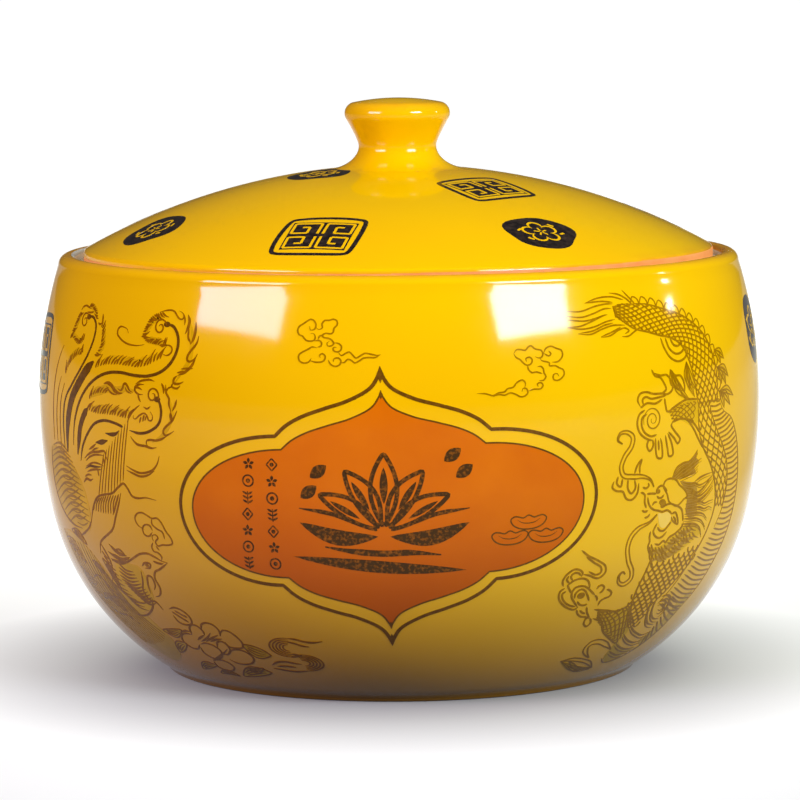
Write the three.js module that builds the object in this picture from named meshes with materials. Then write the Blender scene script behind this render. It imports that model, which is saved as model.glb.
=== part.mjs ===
// Lidded ceramic rice jar: a squat round jar with a stepped mouth, and a domed lid with a hollow knob.
// Millimetres, +Z up. The origin is on the table, at the centre of the foot. The front faces -Y.

import * as THREE from "three";

// Jar wall
const bellyRadius = 130; // widest part of the wall
const bellyHeight = 97.5; // height of the belly above the table
const jarHeight = 150; // table to the crest of the rim
const wall = 6; // thickness of the wall
const shoulderInset = 7.5; // how far the wall leans in from the belly to the rim
const bellyCurve = 196; // radius of the slow curve just below the belly
const bellyCurveDrop = 37; // how far below the belly that curve runs
const footInset = 44.5; // how far the foot stands in from the belly

// Foot and floor
const footWidth = 7; // flat of the foot ring, which the jar stands on
const footRound = 1.5; // rounding of the foot ring's edges
const footRecess = 3; // hollow inside the foot ring
const floorThickness = 8; // recess to the floor inside
const floorFillet = 20; // run of the sweep from the floor into the wall

// Mouth: the rim stands up round a ledge, the gallery, that carries the lid
const rimWidth = 6; // outer wall to the gallery
const rimOuterRound = 3.6;
const rimInnerRound = 2;
const galleryDepth = 3.5; // crest of the rim to the ledge
const ledgeWidth = 10;
const ledgeThickness = 6.5;
const ledgeNose = 2.4; // rounding of the ledge's inner edge
const ledgeSweep = 11; // run of the sweep from under the ledge into the wall

// Lid
const lidClearance = 3.2; // lid's edge to the gallery, all round
const domeRise = 29.3; // edge of the lid to the top of the dome
const lidThickness = 5;
const lidEdge = 4.6; // height of the bare edge band
const lidEdgeRound = 2; // top edge of the band
const lidSeatRound = 1; // lower edge of the band
const seatFillet = 4; // run of the sweep from the seat into the dome

// Collar under the lid, which keeps it in the mouth
const collarClearance = 1.8; // collar to the throat, all round
const collarThickness = 5;
const collarDepth = 9;
const collarRound = 1.6;

// Knob, cast hollow and luted over a hole in the dome
const knobHeight = 24.2; // top of the dome to the top of the knob
const knobRadius = 19; // widest part of the head
const headDrop = 5.6; // top of the knob to its widest part
const headRound = 4.2; // roll of the head's edge
const headTaper = THREE.MathUtils.degToRad(30); // lean of the head's underside from upright
const crownSlope = THREE.MathUtils.degToRad(21); // slope of the domed top at its edge
const neckRadius = 14;
const neckHeight = 6.8; // narrowest part of the neck above the top of the dome
const neckStraight = 0.15; // share of the neck's rise to the head that starts upright
const taperStraight = 0.5; // share of that rise that follows the head's taper
const knobFootRadius = 24; // where the flared foot ends on the dome
const knobFootEdge = 0.6; // thickness of the foot's edge
const knobWall = 6; // neck to the hollow
const knobCap = 7; // hollow to the top of the knob

// Fits and fineness
const luteGap = 0.3; // slip seam between pieces joined before firing
const seatGap = 0.3; // lid's seat to the ledge
const chordError = 0.15; // how far a facet may lie inside its curve
const segments = 64; // facets round the jar and lid
const knobSegments = 40; // facets round the knob

// Sizes that follow from those above
const rimRadius = bellyRadius - shoulderInset;
const footRadius = bellyRadius - footInset;
const galleryRadius = rimRadius - rimWidth;
const throatRadius = galleryRadius - ledgeWidth;
const ledgeHeight = jarHeight - galleryDepth;
const floorHeight = footRecess + floorThickness;
const seatHeight = ledgeHeight + seatGap;
const lidRadius = galleryRadius - lidClearance;
const collarRadius = throatRadius - collarClearance;
const domeCurve = (lidRadius ** 2 + domeRise ** 2) / (2 * domeRise);
const domeTop = seatHeight + lidEdge + domeRise;
const domeCentre = domeTop - domeCurve;
const hollowRadius = neckRadius - knobWall;

const glaze = { color: 0xf0bd00, roughness: 0.12, metalness: 0 };
const white = { color: 0xf1efe6, roughness: 0.2, metalness: 0 };

// A point of a section: distance from the axis, and height.
const at = (r, z) => new THREE.Vector2(r, z);

// Points along an arc of a section. Angles are in radians, from the outward direction towards +Z.
function arc(centre, radius, from, to) {
  const step = 2 * Math.acos(1 - Math.min(chordError / radius, 0.5));
  const count = Math.max(2, Math.ceil(Math.abs(to - from) / step));
  const curve = new THREE.EllipseCurve(centre.x, centre.y, radius, radius, from, to, to < from);
  return curve.getPoints(count);
}

// Points along a sweep from one point to another, tangent at both to the lines through the corner.
function sweep(from, corner, to, count = 5) {
  return new THREE.QuadraticBezierCurve(from, corner, to).getPoints(count);
}

// Distance from the axis at which a wall arc has a given height.
const radiusAt = (centre, radius, z) => centre.x + Math.sqrt(radius ** 2 - (z - centre.y) ** 2);

// Height of a dome concentric with the lid's outer face, at a distance from the axis.
const domeHeight = (radius, r) => domeCentre + Math.sqrt(radius ** 2 - r ** 2);

// Angle of a point of a section as seen from an arc's centre.
const angleOf = (centre, point) => Math.atan2(point.y - centre.y, point.x - centre.x);

// Turns a section, listed anticlockwise, about the axis into a closed solid.
function turned(name, section, around, finish) {
  const points = section.filter((p, i) => i === 0 || p.distanceTo(section[i - 1]) > 0.01);
  const geometry = new THREE.LatheGeometry(points, around).rotateX(Math.PI / 2);
  const mesh = new THREE.Mesh(geometry, new THREE.MeshStandardMaterial(finish));
  mesh.name = name;
  return mesh;
}

// The three arcs of the jar's wall: shoulder above the belly, slow curve below it, and base down to the foot.
// The inner face uses the same centres, one wall thickness inside.
function wallArcs() {
  const shoulderRise = jarHeight - rimOuterRound - bellyHeight;
  const shoulder = (shoulderRise ** 2 + shoulderInset ** 2) / (2 * shoulderInset);
  const lean = Math.asin(bellyCurveDrop / bellyCurve);
  const turn = at(bellyRadius - bellyCurve * (1 - Math.cos(lean)), bellyHeight - bellyCurveDrop);
  const toFoot = at(footRadius, footRound).sub(turn);
  const inward = at(-Math.cos(lean), Math.sin(lean));
  const base = toFoot.lengthSq() / (2 * toFoot.dot(inward));
  return {
    shoulder: { centre: at(bellyRadius - shoulder, bellyHeight), radius: shoulder },
    belly: { centre: at(bellyRadius - bellyCurve, bellyHeight), radius: bellyCurve },
    base: { centre: turn.clone().addScaledVector(inward, base), radius: base },
    lean,
  };
}

function jarBody() {
  const { shoulder, belly, base, lean } = wallArcs();
  const rimStart = at(rimRadius, jarHeight - rimOuterRound);
  const footEnd = at(footRadius, footRound);
  const footInner = footRadius - footRound - footWidth;
  const footRoll = at(footRadius - footRound, footRound);
  const underLedge = ledgeHeight - ledgeThickness;

  const foot = [
    at(0, footRecess),
    ...arc(at(footInner - 2 * footRound, footRecess - footRound), footRound, Math.PI / 2, 0),
    ...arc(at(footInner, footRound), footRound, Math.PI, 1.5 * Math.PI),
    ...arc(footRoll, footRound, -Math.PI / 2, -Math.PI / 6),
  ];
  const outside = [
    ...arc(base.centre, base.radius, angleOf(base.centre, footEnd), -lean),
    ...arc(belly.centre, belly.radius, -lean, 0),
    ...arc(shoulder.centre, shoulder.radius, 0, angleOf(shoulder.centre, rimStart)),
  ];
  const mouth = [
    ...arc(at(rimRadius - rimOuterRound, jarHeight - rimOuterRound), rimOuterRound, 0, Math.PI / 2),
    ...arc(at(galleryRadius + rimInnerRound, jarHeight - rimInnerRound), rimInnerRound, Math.PI / 2, Math.PI),
    at(galleryRadius, ledgeHeight),
    ...arc(at(throatRadius + ledgeNose, ledgeHeight - ledgeNose), ledgeNose, Math.PI / 2, Math.PI),
    ...arc(at(throatRadius + ledgeNose, underLedge + ledgeNose), ledgeNose, Math.PI, 1.5 * Math.PI),
  ];

  // Under the ledge the inner face sweeps out to the wall, and at the bottom it sweeps into the floor.
  const innerShoulder = shoulder.radius - wall;
  const innerBelly = belly.radius - wall;
  const innerBase = base.radius - wall;
  const sweepTop = underLedge - ledgeSweep;
  const sweepEnd = at(radiusAt(shoulder.centre, innerShoulder, sweepTop), sweepTop);
  const sweepCorner = at(radiusAt(shoulder.centre, innerShoulder, underLedge), underLedge);
  const floorCorner = at(radiusAt(base.centre, innerBase, floorHeight), floorHeight);
  const filletTop = floorHeight + floorFillet / 2;
  const filletStart = at(radiusAt(base.centre, innerBase, filletTop), filletTop);
  const inside = [
    ...sweep(mouth[mouth.length - 1], sweepCorner, sweepEnd),
    ...arc(shoulder.centre, innerShoulder, angleOf(shoulder.centre, sweepEnd), 0),
    ...arc(belly.centre, innerBelly, 0, -lean),
    ...arc(base.centre, innerBase, -lean, angleOf(base.centre, filletStart)),
    ...sweep(filletStart, floorCorner, at(floorCorner.x - floorFillet, floorHeight)),
    at(0, floorHeight),
  ];
  return turned("jar_body", [...foot, ...outside, ...mouth, ...inside], segments, glaze);
}

function lidDome() {
  const inner = domeCurve - lidThickness;
  const collarInner = collarRadius - collarThickness;
  const roll = at(lidRadius - lidEdgeRound, domeHeight(domeCurve - lidEdgeRound, lidRadius - lidEdgeRound));
  const centre = at(0, domeCentre);
  const rollAngle = angleOf(centre, roll);
  const fillet = at(collarInner - seatFillet, domeHeight(inner, collarInner - seatFillet));
  const underHole = at(hollowRadius, domeHeight(inner, hollowRadius));
  const overHole = at(hollowRadius, domeHeight(domeCurve, hollowRadius));
  const section = [
    ...arc(centre, inner, angleOf(centre, underHole), angleOf(centre, fillet)),
    ...sweep(fillet, at(collarInner, domeHeight(inner, collarInner)), at(collarInner, seatHeight)),
    ...arc(at(lidRadius - lidSeatRound, seatHeight + lidSeatRound), lidSeatRound, -Math.PI / 2, 0),
    ...arc(roll, lidEdgeRound, 0, rollAngle),
    ...arc(centre, domeCurve, rollAngle, angleOf(centre, overHole)),
  ];
  return turned("lid_dome", [...section, section[0]], segments, glaze);
}

function lidCollar() {
  const top = seatHeight - luteGap;
  const bottom = seatHeight - collarDepth;
  const collarInner = collarRadius - collarThickness;
  const section = [
    ...arc(at(collarInner + collarRound, bottom + collarRound), collarRound, Math.PI, 1.5 * Math.PI),
    ...arc(at(collarRadius - collarRound, bottom + collarRound), collarRound, -Math.PI / 2, 0),
    at(collarRadius, top),
    at(collarInner, top),
  ];
  return turned("lid_collar", [...section, section[0]], segments, white);
}

function lidKnob() {
  const seatCurve = domeCurve + luteGap;
  const knobTop = domeTop + knobHeight;
  const neck = at(neckRadius, domeTop + neckHeight);
  const hollowTop = knobTop - knobCap;
  const footUnder = at(knobFootRadius, domeHeight(seatCurve, knobFootRadius));
  const footTop = at(knobFootRadius, footUnder.y + knobFootEdge);
  const seatCentre = at(0, domeCentre);

  // The hollow is a straight bore with a round end. The foot's underside follows the dome.
  const boreEnd = at(hollowRadius, domeHeight(seatCurve, hollowRadius));
  const hollow = [...arc(at(0, hollowTop - hollowRadius), hollowRadius, Math.PI / 2, 0), boreEnd];
  const under = arc(seatCentre, seatCurve, angleOf(seatCentre, boreEnd), angleOf(seatCentre, footUnder));

  // The foot flares from the neck, and the head tapers out above it to a roll and a domed top.
  const flare = new THREE.CubicBezierCurve(
    footTop,
    at((knobFootRadius + neckRadius) / 2, footTop.y + knobFootEdge),
    at(neckRadius, (neck.y + footTop.y) / 2),
    neck,
  ).getPoints(8);
  const headCentre = at(knobRadius - headRound, knobTop - headDrop);
  const rollEnd = at(headRound * Math.cos(headTaper), -headRound * Math.sin(headTaper)).add(headCentre);
  const neckRise = rollEnd.y - neck.y;
  const taperRun = taperStraight * neckRise;
  const throat = new THREE.CubicBezierCurve(
    neck,
    at(neckRadius, neck.y + neckStraight * neckRise),
    at(rollEnd.x - taperRun * Math.tan(headTaper), rollEnd.y - taperRun),
    rollEnd,
  ).getPoints(6);
  const rollTop = Math.PI / 2 - crownSlope;
  const crownEdge = at(headRound * Math.cos(rollTop), headRound * Math.sin(rollTop)).add(headCentre);
  const crown = sweep(crownEdge, at(crownEdge.x / 2, knobTop), at(0, knobTop), 4);
  const head = [...throat, ...arc(headCentre, headRound, -headTaper, rollTop), ...crown];
  return turned("lid_knob", [...hollow, ...under, ...flare, ...head], knobSegments, glaze);
}

const lid = new THREE.Group();
lid.add(lidDome(), lidCollar(), lidKnob());

const riceJar = new THREE.Group();
riceJar.add(jarBody(), lid);

export default riceJar;
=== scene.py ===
from math import asin, atan2, ceil, cos, hypot, pi, radians, sin, sqrt, tan, tau

import bmesh
import bpy
import numpy as np
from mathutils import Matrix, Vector


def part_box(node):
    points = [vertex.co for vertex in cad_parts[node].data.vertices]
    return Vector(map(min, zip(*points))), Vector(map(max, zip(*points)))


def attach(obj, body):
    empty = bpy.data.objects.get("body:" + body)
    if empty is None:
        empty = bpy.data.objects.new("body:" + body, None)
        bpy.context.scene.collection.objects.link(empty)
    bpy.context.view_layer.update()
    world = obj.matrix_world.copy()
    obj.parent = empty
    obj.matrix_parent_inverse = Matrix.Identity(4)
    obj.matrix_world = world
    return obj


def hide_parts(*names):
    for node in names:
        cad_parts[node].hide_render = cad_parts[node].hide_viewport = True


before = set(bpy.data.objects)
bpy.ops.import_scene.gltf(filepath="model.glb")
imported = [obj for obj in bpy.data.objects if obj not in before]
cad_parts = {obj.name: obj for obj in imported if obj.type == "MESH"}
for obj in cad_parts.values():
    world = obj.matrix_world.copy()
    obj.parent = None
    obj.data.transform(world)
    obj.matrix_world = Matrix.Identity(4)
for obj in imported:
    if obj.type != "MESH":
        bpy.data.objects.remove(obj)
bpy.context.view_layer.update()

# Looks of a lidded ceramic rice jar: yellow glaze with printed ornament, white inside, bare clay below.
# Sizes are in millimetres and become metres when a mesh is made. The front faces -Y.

MM = 0.001
jar_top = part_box("jar_body")[1]
knob_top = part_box("lid_knob")[1]

# Jar wall
BELLY_RADIUS = jar_top.x / MM
BELLY_HEIGHT = 97.5
JAR_HEIGHT = jar_top.z / MM
WALL = 6
SHOULDER_INSET = 7.5
BELLY_CURVE = 196
BELLY_CURVE_DROP = 37
FOOT_INSET = 44.5

# Foot and floor
FOOT_WIDTH = 7
FOOT_ROUND = 1.5
FOOT_RECESS = 3
FLOOR_THICKNESS = 8
FLOOR_FILLET = 20

# Mouth
RIM_WIDTH = 6
RIM_OUTER_ROUND = 3.6
RIM_INNER_ROUND = 2
GALLERY_DEPTH = 3.5
LEDGE_WIDTH = 10
LEDGE_THICKNESS = 6.5
LEDGE_NOSE = 2.4
LEDGE_SWEEP = 11

# Lid, collar and knob
LID_CLEARANCE = 3.2
DOME_RISE = 29.3
LID_THICKNESS = 5
LID_EDGE = 4.6
LID_EDGE_ROUND = 2
LID_SEAT_ROUND = 1
LID_GLAZE_END = 150.1
LID_GLAZE_SWING = 1.0
LID_GLAZE_FADE = 1.3
SEAT_FILLET = 4
SEAT_GAP = 0.3
COLLAR_CLEARANCE = 1.8
COLLAR_THICKNESS = 5
COLLAR_DEPTH = 9
COLLAR_ROUND = 1.6
KNOB_RADIUS = 19
HEAD_DROP = 5.6
HEAD_ROUND = 4.2
HEAD_TAPER = radians(30)
CROWN_SLOPE = radians(21)
NECK_RADIUS = 14
NECK_HEIGHT = 6.8
NECK_STRAIGHT = 0.15
TAPER_STRAIGHT = 0.5
KNOB_FOOT_RADIUS = 24
KNOB_WALL = 6
KNOB_CAP = 7

# Sizes that follow
RIM_RADIUS = BELLY_RADIUS - SHOULDER_INSET
FOOT_RADIUS = BELLY_RADIUS - FOOT_INSET
GALLERY_RADIUS = RIM_RADIUS - RIM_WIDTH
THROAT_RADIUS = GALLERY_RADIUS - LEDGE_WIDTH
LEDGE_HEIGHT = JAR_HEIGHT - GALLERY_DEPTH
FLOOR_HEIGHT = FOOT_RECESS + FLOOR_THICKNESS
SEAT_HEIGHT = LEDGE_HEIGHT + SEAT_GAP
LID_RADIUS = GALLERY_RADIUS - LID_CLEARANCE
COLLAR_RADIUS = THROAT_RADIUS - COLLAR_CLEARANCE
DOME_CURVE = (LID_RADIUS ** 2 + DOME_RISE ** 2) / (2 * DOME_RISE)
DOME_TOP = SEAT_HEIGHT + LID_EDGE + DOME_RISE
DOME_CENTRE = DOME_TOP - DOME_CURVE
KNOB_TOP = knob_top.z / MM

# Fineness of the turned pieces
TURN_STEPS = 288
SECTION_ERROR = 0.012
SAME_SPOT = 1e-3
ON_AXIS = 1e-6
TURNED_CREASE = radians(50)

# The wall's three arcs
shoulder_rise = JAR_HEIGHT - RIM_OUTER_ROUND - BELLY_HEIGHT
SHOULDER_CURVE = (shoulder_rise ** 2 + SHOULDER_INSET ** 2) / (2 * SHOULDER_INSET)
LEAN = asin(BELLY_CURVE_DROP / BELLY_CURVE)
turn_point = Vector((BELLY_RADIUS - BELLY_CURVE * (1 - cos(LEAN)), BELLY_HEIGHT - BELLY_CURVE_DROP))
to_foot = Vector((FOOT_RADIUS, FOOT_ROUND)) - turn_point
inward = Vector((-cos(LEAN), sin(LEAN)))
BASE_CURVE = to_foot.length_squared / (2 * to_foot.dot(inward))
SHOULDER_CENTRE = Vector((BELLY_RADIUS - SHOULDER_CURVE, BELLY_HEIGHT))
BELLY_CENTRE = Vector((BELLY_RADIUS - BELLY_CURVE, BELLY_HEIGHT))
BASE_CENTRE = turn_point + inward * BASE_CURVE


# Section helpers

def arc(centre, radius, start, end):
    """Points along an arc of a section, angles from the outward direction towards up."""
    step = 2 * sqrt(2 * SECTION_ERROR / radius)
    count = max(3, ceil(abs(end - start) / step))
    angles = [start + (end - start) * i / count for i in range(count + 1)]
    return [(centre[0] + radius * cos(a), centre[1] + radius * sin(a)) for a in angles]


def bezier(*controls, count=12):
    """Points along a quadratic or cubic sweep."""
    out = []
    for i in range(count + 1):
        level = [Vector(c) for c in controls]
        while len(level) > 1:
            level = [a.lerp(b, i / count) for a, b in zip(level, level[1:])]
        out.append(tuple(level[0]))
    return out


def angle_of(centre, point):
    return atan2(point[1] - centre[1], point[0] - centre[0])


def radius_at(centre, radius, z):
    return centre[0] + sqrt(radius ** 2 - (z - centre[1]) ** 2)


def dome_height(radius, r):
    return DOME_CENTRE + sqrt(radius ** 2 - r ** 2)


def shade_smooth(mesh, sharp_angle):
    mesh.shade_smooth()
    mesh.set_sharp_from_angle(angle=sharp_angle)


def turned(name, stretches, materials, body, closed=False):
    """A piece turned about the axis from stretches of section: (material, points, glaze thinness, which on
    the inner lip's right side is painted shade).

    Material and thinness may be functions of radius, height and turn from the front.
    """
    points = []
    kinds = []
    thin_and_shade = []
    for kind, run, edge_tone in stretches:
        for p in run:
            if points and hypot(p[0] - points[-1][0], p[1] - points[-1][1]) < SAME_SPOT:
                continue
            points.append(p)
            kinds.append(kind)
            thin_and_shade.append(edge_tone)
    verts = []
    rings = []
    wear_and_shade = []
    for (r, z), edge_tone in zip(points, thin_and_shade):
        count = TURN_STEPS if r > ON_AXIS else 1
        rings.append(range(len(verts), len(verts) + count))
        for i in range(count):
            turn = tau * i / count
            verts.append((r * sin(turn) * MM, -r * cos(turn) * MM, z * MM))
            wear_and_shade.append(edge_tone(r, z, turn) if callable(edge_tone) else edge_tone)
    faces = []
    slots = []
    last = len(points) if closed else len(points) - 1
    for j in range(last):
        low = rings[j]
        high = rings[(j + 1) % len(points)]
        kind = kinds[(j + 1) % len(points)]
        r, z = points[j]
        for i in range(TURN_STEPS):
            k = (i + 1) % TURN_STEPS
            if len(low) == 1:
                face = (low[0], high[k], high[i])
            elif len(high) == 1:
                face = (low[i], low[k], high[0])
            else:
                face = (low[i], low[k], high[k], high[i])
            faces.append(face)
            slots.append(kind(r, z, tau * i / TURN_STEPS) if callable(kind) else kind)
    mesh = bpy.data.meshes.new(name)
    mesh.from_pydata(verts, [], faces)
    for material in materials:
        mesh.materials.append(material)
    mesh.polygons.foreach_set("material_index", slots)
    mesh.attributes.new("thin_and_shade", "FLOAT", "POINT").data.foreach_set("value", wear_and_shade)
    shade_smooth(mesh, TURNED_CREASE)
    piece = bpy.data.objects.new(name, mesh)
    bpy.context.collection.objects.link(piece)
    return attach(piece, body)


# Colours and finish of the materials
GLAZE_LIGHT = (0.84, 0.505, 0.0, 1)
GLAZE_DEEP = (0.81, 0.455, 0.0, 1)
# Painted shade: the glaze's colour towards the foot
GLAZE_PAINTED_SHADE = (0.46, 0.200, 0.0, 1)
# Painted shade: the dark band at the very foot
GLAZE_FOOT_SHADE = (0.09, 0.036, 0.0, 1)
GLAZE_WORN_AND_SHADED = (0.66, 0.235, 0.012, 1)
WHITE_LIGHT = (0.79, 0.80, 0.66, 1)
WHITE_DEEP = (0.73, 0.735, 0.60, 1)
CLAY_LIGHT = (0.77, 0.33, 0.07, 1)
CLAY_DEEP = (0.69, 0.24, 0.035, 1)
# Painted shade of the panel towards its foot
PANEL_SHADE_COLOUR = (0.40, 0.070, 0.0, 1)
WARM_GLOSS = (1.0, 0.96, 0.85, 1)
GLOSS = 0.34
PRINT_GLOSS = 0.16
GLAZE_ROUGHNESS = 0.085
WHITE_ROUGHNESS = 0.10
CLAY_ROUGHNESS = 0.72
POLISHED = 0.75
DULLED = 1.35

# Heights in metres between which painted shade darkens the glaze towards the foot, more on the left through
# the tilt, and again at the very foot, with painted shade on the prints and the panel too, and the share it
# reaches
SHADE_HEIGHTS = (0.070, 0.0)
SHADE_SHARE = 0.88
SHADE_TILT = 0.2
FOOT_SHADE_HEIGHTS = (0.005, 0.0012)
FOOT_SHADE_SHARE = 0.8
PRINT_SHADE_HEIGHTS = (0.052, 0.0)
PRINT_SHADE_SHARE = 0.7
PRINT_SHADE_DEPTH = 0.4
PANEL_SHADE_HEIGHTS = (0.078, 0.032)

# Waves and orange peel of the glaze, and the grit of the clay
RIPPLE = 0.10
WAVE_SCALE = 22.0
WAVE_DEPTH = 0.0012
PEEL_SCALE = 420.0
PEEL_SHARE = 0.4
PEEL_DEPTH = 0.00012
PATCH_SCALE = 55.0
GRIT_SCALE = 900.0
GRIT_STRENGTH = 0.5
GRIT_DEPTH = 0.00015

# Grain of each kind of print: scale, and the stretch of noise it shows
LINE_GRAIN = (700.0, 0.35, 0.75)
WASH_GRAIN = (130.0, 0.3, 0.7)
ROUGH_GRAIN = (900.0, 0.48, 0.72)
SEAL_GRAIN = (500.0, 0.4, 0.8)
PANEL_GRAIN = (40.0, 0.35, 0.7)


# Materials

def node(tree, kind, **inputs):
    made = tree.nodes.new(kind)
    for key, value in inputs.items():
        made.inputs[key.replace("_", " ")].default_value = value
    return made


def new_material(name):
    material = bpy.data.materials.new(name)
    material.use_nodes = True
    tree = material.node_tree
    shader = tree.nodes["Principled BSDF"]
    return material, tree, shader


def mix_colour(tree, factor, first, second):
    mix = tree.nodes.new("ShaderNodeMix")
    mix.data_type = "RGBA"
    for socket, value in (("Factor", factor), ("A", first), ("B", second)):
        target = [s for s in mix.inputs if s.name == socket and s.enabled][0]
        if hasattr(value, "is_output"):
            tree.links.new(value, target)
        else:
            target.default_value = value
    return [s for s in mix.outputs if s.enabled][0]


def ramp(tree, source, low, high, floor=0.0, ceiling=1.0):
    stretch = node(tree, "ShaderNodeMapRange", From_Min=low, From_Max=high, To_Min=floor, To_Max=ceiling)
    tree.links.new(source, stretch.inputs["Value"])
    return stretch.outputs["Result"]


def maths(tree, operation, *values):
    made = tree.nodes.new("ShaderNodeMath")
    made.operation = operation
    for value, target in zip(values, made.inputs):
        if hasattr(value, "is_output"):
            tree.links.new(value, target)
        else:
            target.default_value = value
    return made.outputs["Value"]


def places(tree):
    """The object's own coordinates, and the same split into X, Y and Z."""
    coords = tree.nodes.new("ShaderNodeTexCoord").outputs["Object"]
    split = tree.nodes.new("ShaderNodeSeparateXYZ")
    tree.links.new(coords, split.inputs["Vector"])
    return coords, split.outputs


def noise(tree, coords, scale, detail):
    made = node(tree, "ShaderNodeTexNoise", Scale=scale, Detail=detail)
    tree.links.new(coords, made.inputs["Vector"])
    return made.outputs["Fac"]


def finish_gloss(tree, shader, coords, roughness):
    """Slight waviness and unevenly polished patches, as on fired glaze."""
    wave = noise(tree, coords, WAVE_SCALE, 1.0)
    peel = noise(tree, coords, PEEL_SCALE, 2.0)
    wavy = node(tree, "ShaderNodeBump", Strength=RIPPLE, Distance=WAVE_DEPTH)
    tree.links.new(wave, wavy.inputs["Height"])
    skin = node(tree, "ShaderNodeBump", Strength=RIPPLE * PEEL_SHARE, Distance=PEEL_DEPTH)
    tree.links.new(peel, skin.inputs["Height"])
    tree.links.new(wavy.outputs["Normal"], skin.inputs["Normal"])
    tree.links.new(skin.outputs["Normal"], shader.inputs["Normal"])
    patches = noise(tree, coords, PATCH_SCALE, 4.0)
    uneven = ramp(tree, patches, 0.3, 0.7, roughness * POLISHED, roughness * DULLED)
    tree.links.new(uneven, shader.inputs["Roughness"])


def yellow_glaze():
    material, tree, shader = new_material("yellow_glaze")
    coords, place = places(tree)
    cloudy = ramp(tree, noise(tree, coords, 14.0, 5.0), 0.35, 0.7, 0.0, 0.5)
    body = mix_colour(tree, cloudy, GLAZE_LIGHT, GLAZE_DEEP)
    # Painted shade: the glaze darkens towards the foot and, through the tilt, more on the left side
    level = maths(tree, "MULTIPLY_ADD", place["X"], SHADE_TILT, place["Z"])
    painted_shade = ramp(tree, level, *SHADE_HEIGHTS, 0.0, SHADE_SHARE)
    body = mix_colour(tree, painted_shade, body, GLAZE_PAINTED_SHADE)
    # Painted shade: a dark band at the very foot, where the jar meets the floor
    foot_shade = ramp(tree, place["Z"], *FOOT_SHADE_HEIGHTS, 0.0, FOOT_SHADE_SHARE)
    body = mix_colour(tree, foot_shade, body, GLAZE_FOOT_SHADE)
    # Edges where the glaze wears thin turn orange-brown; on the inner lip's right side the same mark is
    # painted shade
    worn_and_shaded = tree.nodes.new("ShaderNodeAttribute")
    worn_and_shaded.attribute_name = "thin_and_shade"
    patchy = ramp(tree, noise(tree, coords, 160.0, 4.0), 0.25, 0.75, 0.45, 1.0)
    breaks_and_shade = maths(tree, "MULTIPLY", worn_and_shaded.outputs["Fac"], patchy)
    body = mix_colour(tree, breaks_and_shade, body, GLAZE_WORN_AND_SHADED)
    tree.links.new(body, shader.inputs["Base Color"])
    shader.inputs["Specular IOR Level"].default_value = GLOSS
    shader.inputs["Specular Tint"].default_value = WARM_GLOSS
    finish_gloss(tree, shader, coords, GLAZE_ROUGHNESS)
    return material


def white_glaze():
    material, tree, shader = new_material("white_glaze")
    coords = tree.nodes.new("ShaderNodeTexCoord").outputs["Object"]
    cloudy = ramp(tree, noise(tree, coords, 30.0, 5.0), 0.35, 0.7)
    body = mix_colour(tree, cloudy, WHITE_LIGHT, WHITE_DEEP)
    tree.links.new(body, shader.inputs["Base Color"])
    finish_gloss(tree, shader, coords, WHITE_ROUGHNESS)
    return material


def bare_clay():
    material, tree, shader = new_material("bare_clay")
    coords = tree.nodes.new("ShaderNodeTexCoord").outputs["Object"]
    grain = noise(tree, coords, GRIT_SCALE, 6.0)
    stain = ramp(tree, noise(tree, coords, 70.0, 5.0), 0.35, 0.7)
    body = mix_colour(tree, stain, CLAY_LIGHT, CLAY_DEEP)
    tree.links.new(body, shader.inputs["Base Color"])
    shader.inputs["Roughness"].default_value = CLAY_ROUGHNESS
    grit = node(tree, "ShaderNodeBump", Strength=GRIT_STRENGTH, Distance=GRIT_DEPTH)
    tree.links.new(grain, grit.inputs["Height"])
    tree.links.new(grit.outputs["Normal"], shader.inputs["Normal"])
    return material


def print_colour(name, dark, light, grain):
    """Printed ceramic colour under the gloss, slightly uneven as a transfer print is."""
    material, tree, shader = new_material(name)
    coords, place = places(tree)
    scale, low, high = grain
    uneven = ramp(tree, noise(tree, coords, scale, 4.0), low, high)
    # Painted shade: the print darkens towards the foot as the glaze does
    painted_shade = ramp(tree, place["Z"], *PRINT_SHADE_HEIGHTS, 0.0, PRINT_SHADE_SHARE)
    lower_shade = tuple(PRINT_SHADE_DEPTH * c for c in dark[:3]) + (1,)
    body = mix_colour(tree, painted_shade, mix_colour(tree, uneven, dark, light), lower_shade)
    tree.links.new(body, shader.inputs["Base Color"])
    shader.inputs["Specular IOR Level"].default_value = PRINT_GLOSS
    shader.inputs["Specular Tint"].default_value = WARM_GLOSS
    finish_gloss(tree, shader, coords, GLAZE_ROUGHNESS)
    return material


def panel_colour():
    """The orange of the panel, with painted shade that deepens it towards its foot."""
    material = print_colour("orange_print", (0.68, 0.165, 0.0, 1), (0.62, 0.135, 0.0, 1), PANEL_GRAIN)
    tree = material.node_tree
    base = tree.nodes["Principled BSDF"].inputs["Base Color"]
    place = places(tree)[1]
    # Painted shade: the panel deepens towards its foot
    lower_shade = ramp(tree, place["Z"], *PANEL_SHADE_HEIGHTS)
    tree.links.new(mix_colour(tree, lower_shade, base.links[0].from_socket, PANEL_SHADE_COLOUR), base)
    return material


YELLOW = yellow_glaze()
WHITE = white_glaze()
CLAY = bare_clay()
BROWN = print_colour("brown_print", (0.115, 0.046, 0.002, 1), (0.19, 0.080, 0.003, 1), LINE_GRAIN)
RUST = print_colour("rust_print", (0.23, 0.086, 0.0, 1), (0.36, 0.145, 0.0, 1), LINE_GRAIN)
GOLD = print_colour("gold_print", (0.29, 0.138, 0.0, 1), (0.43, 0.212, 0.0, 1), LINE_GRAIN)
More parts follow.
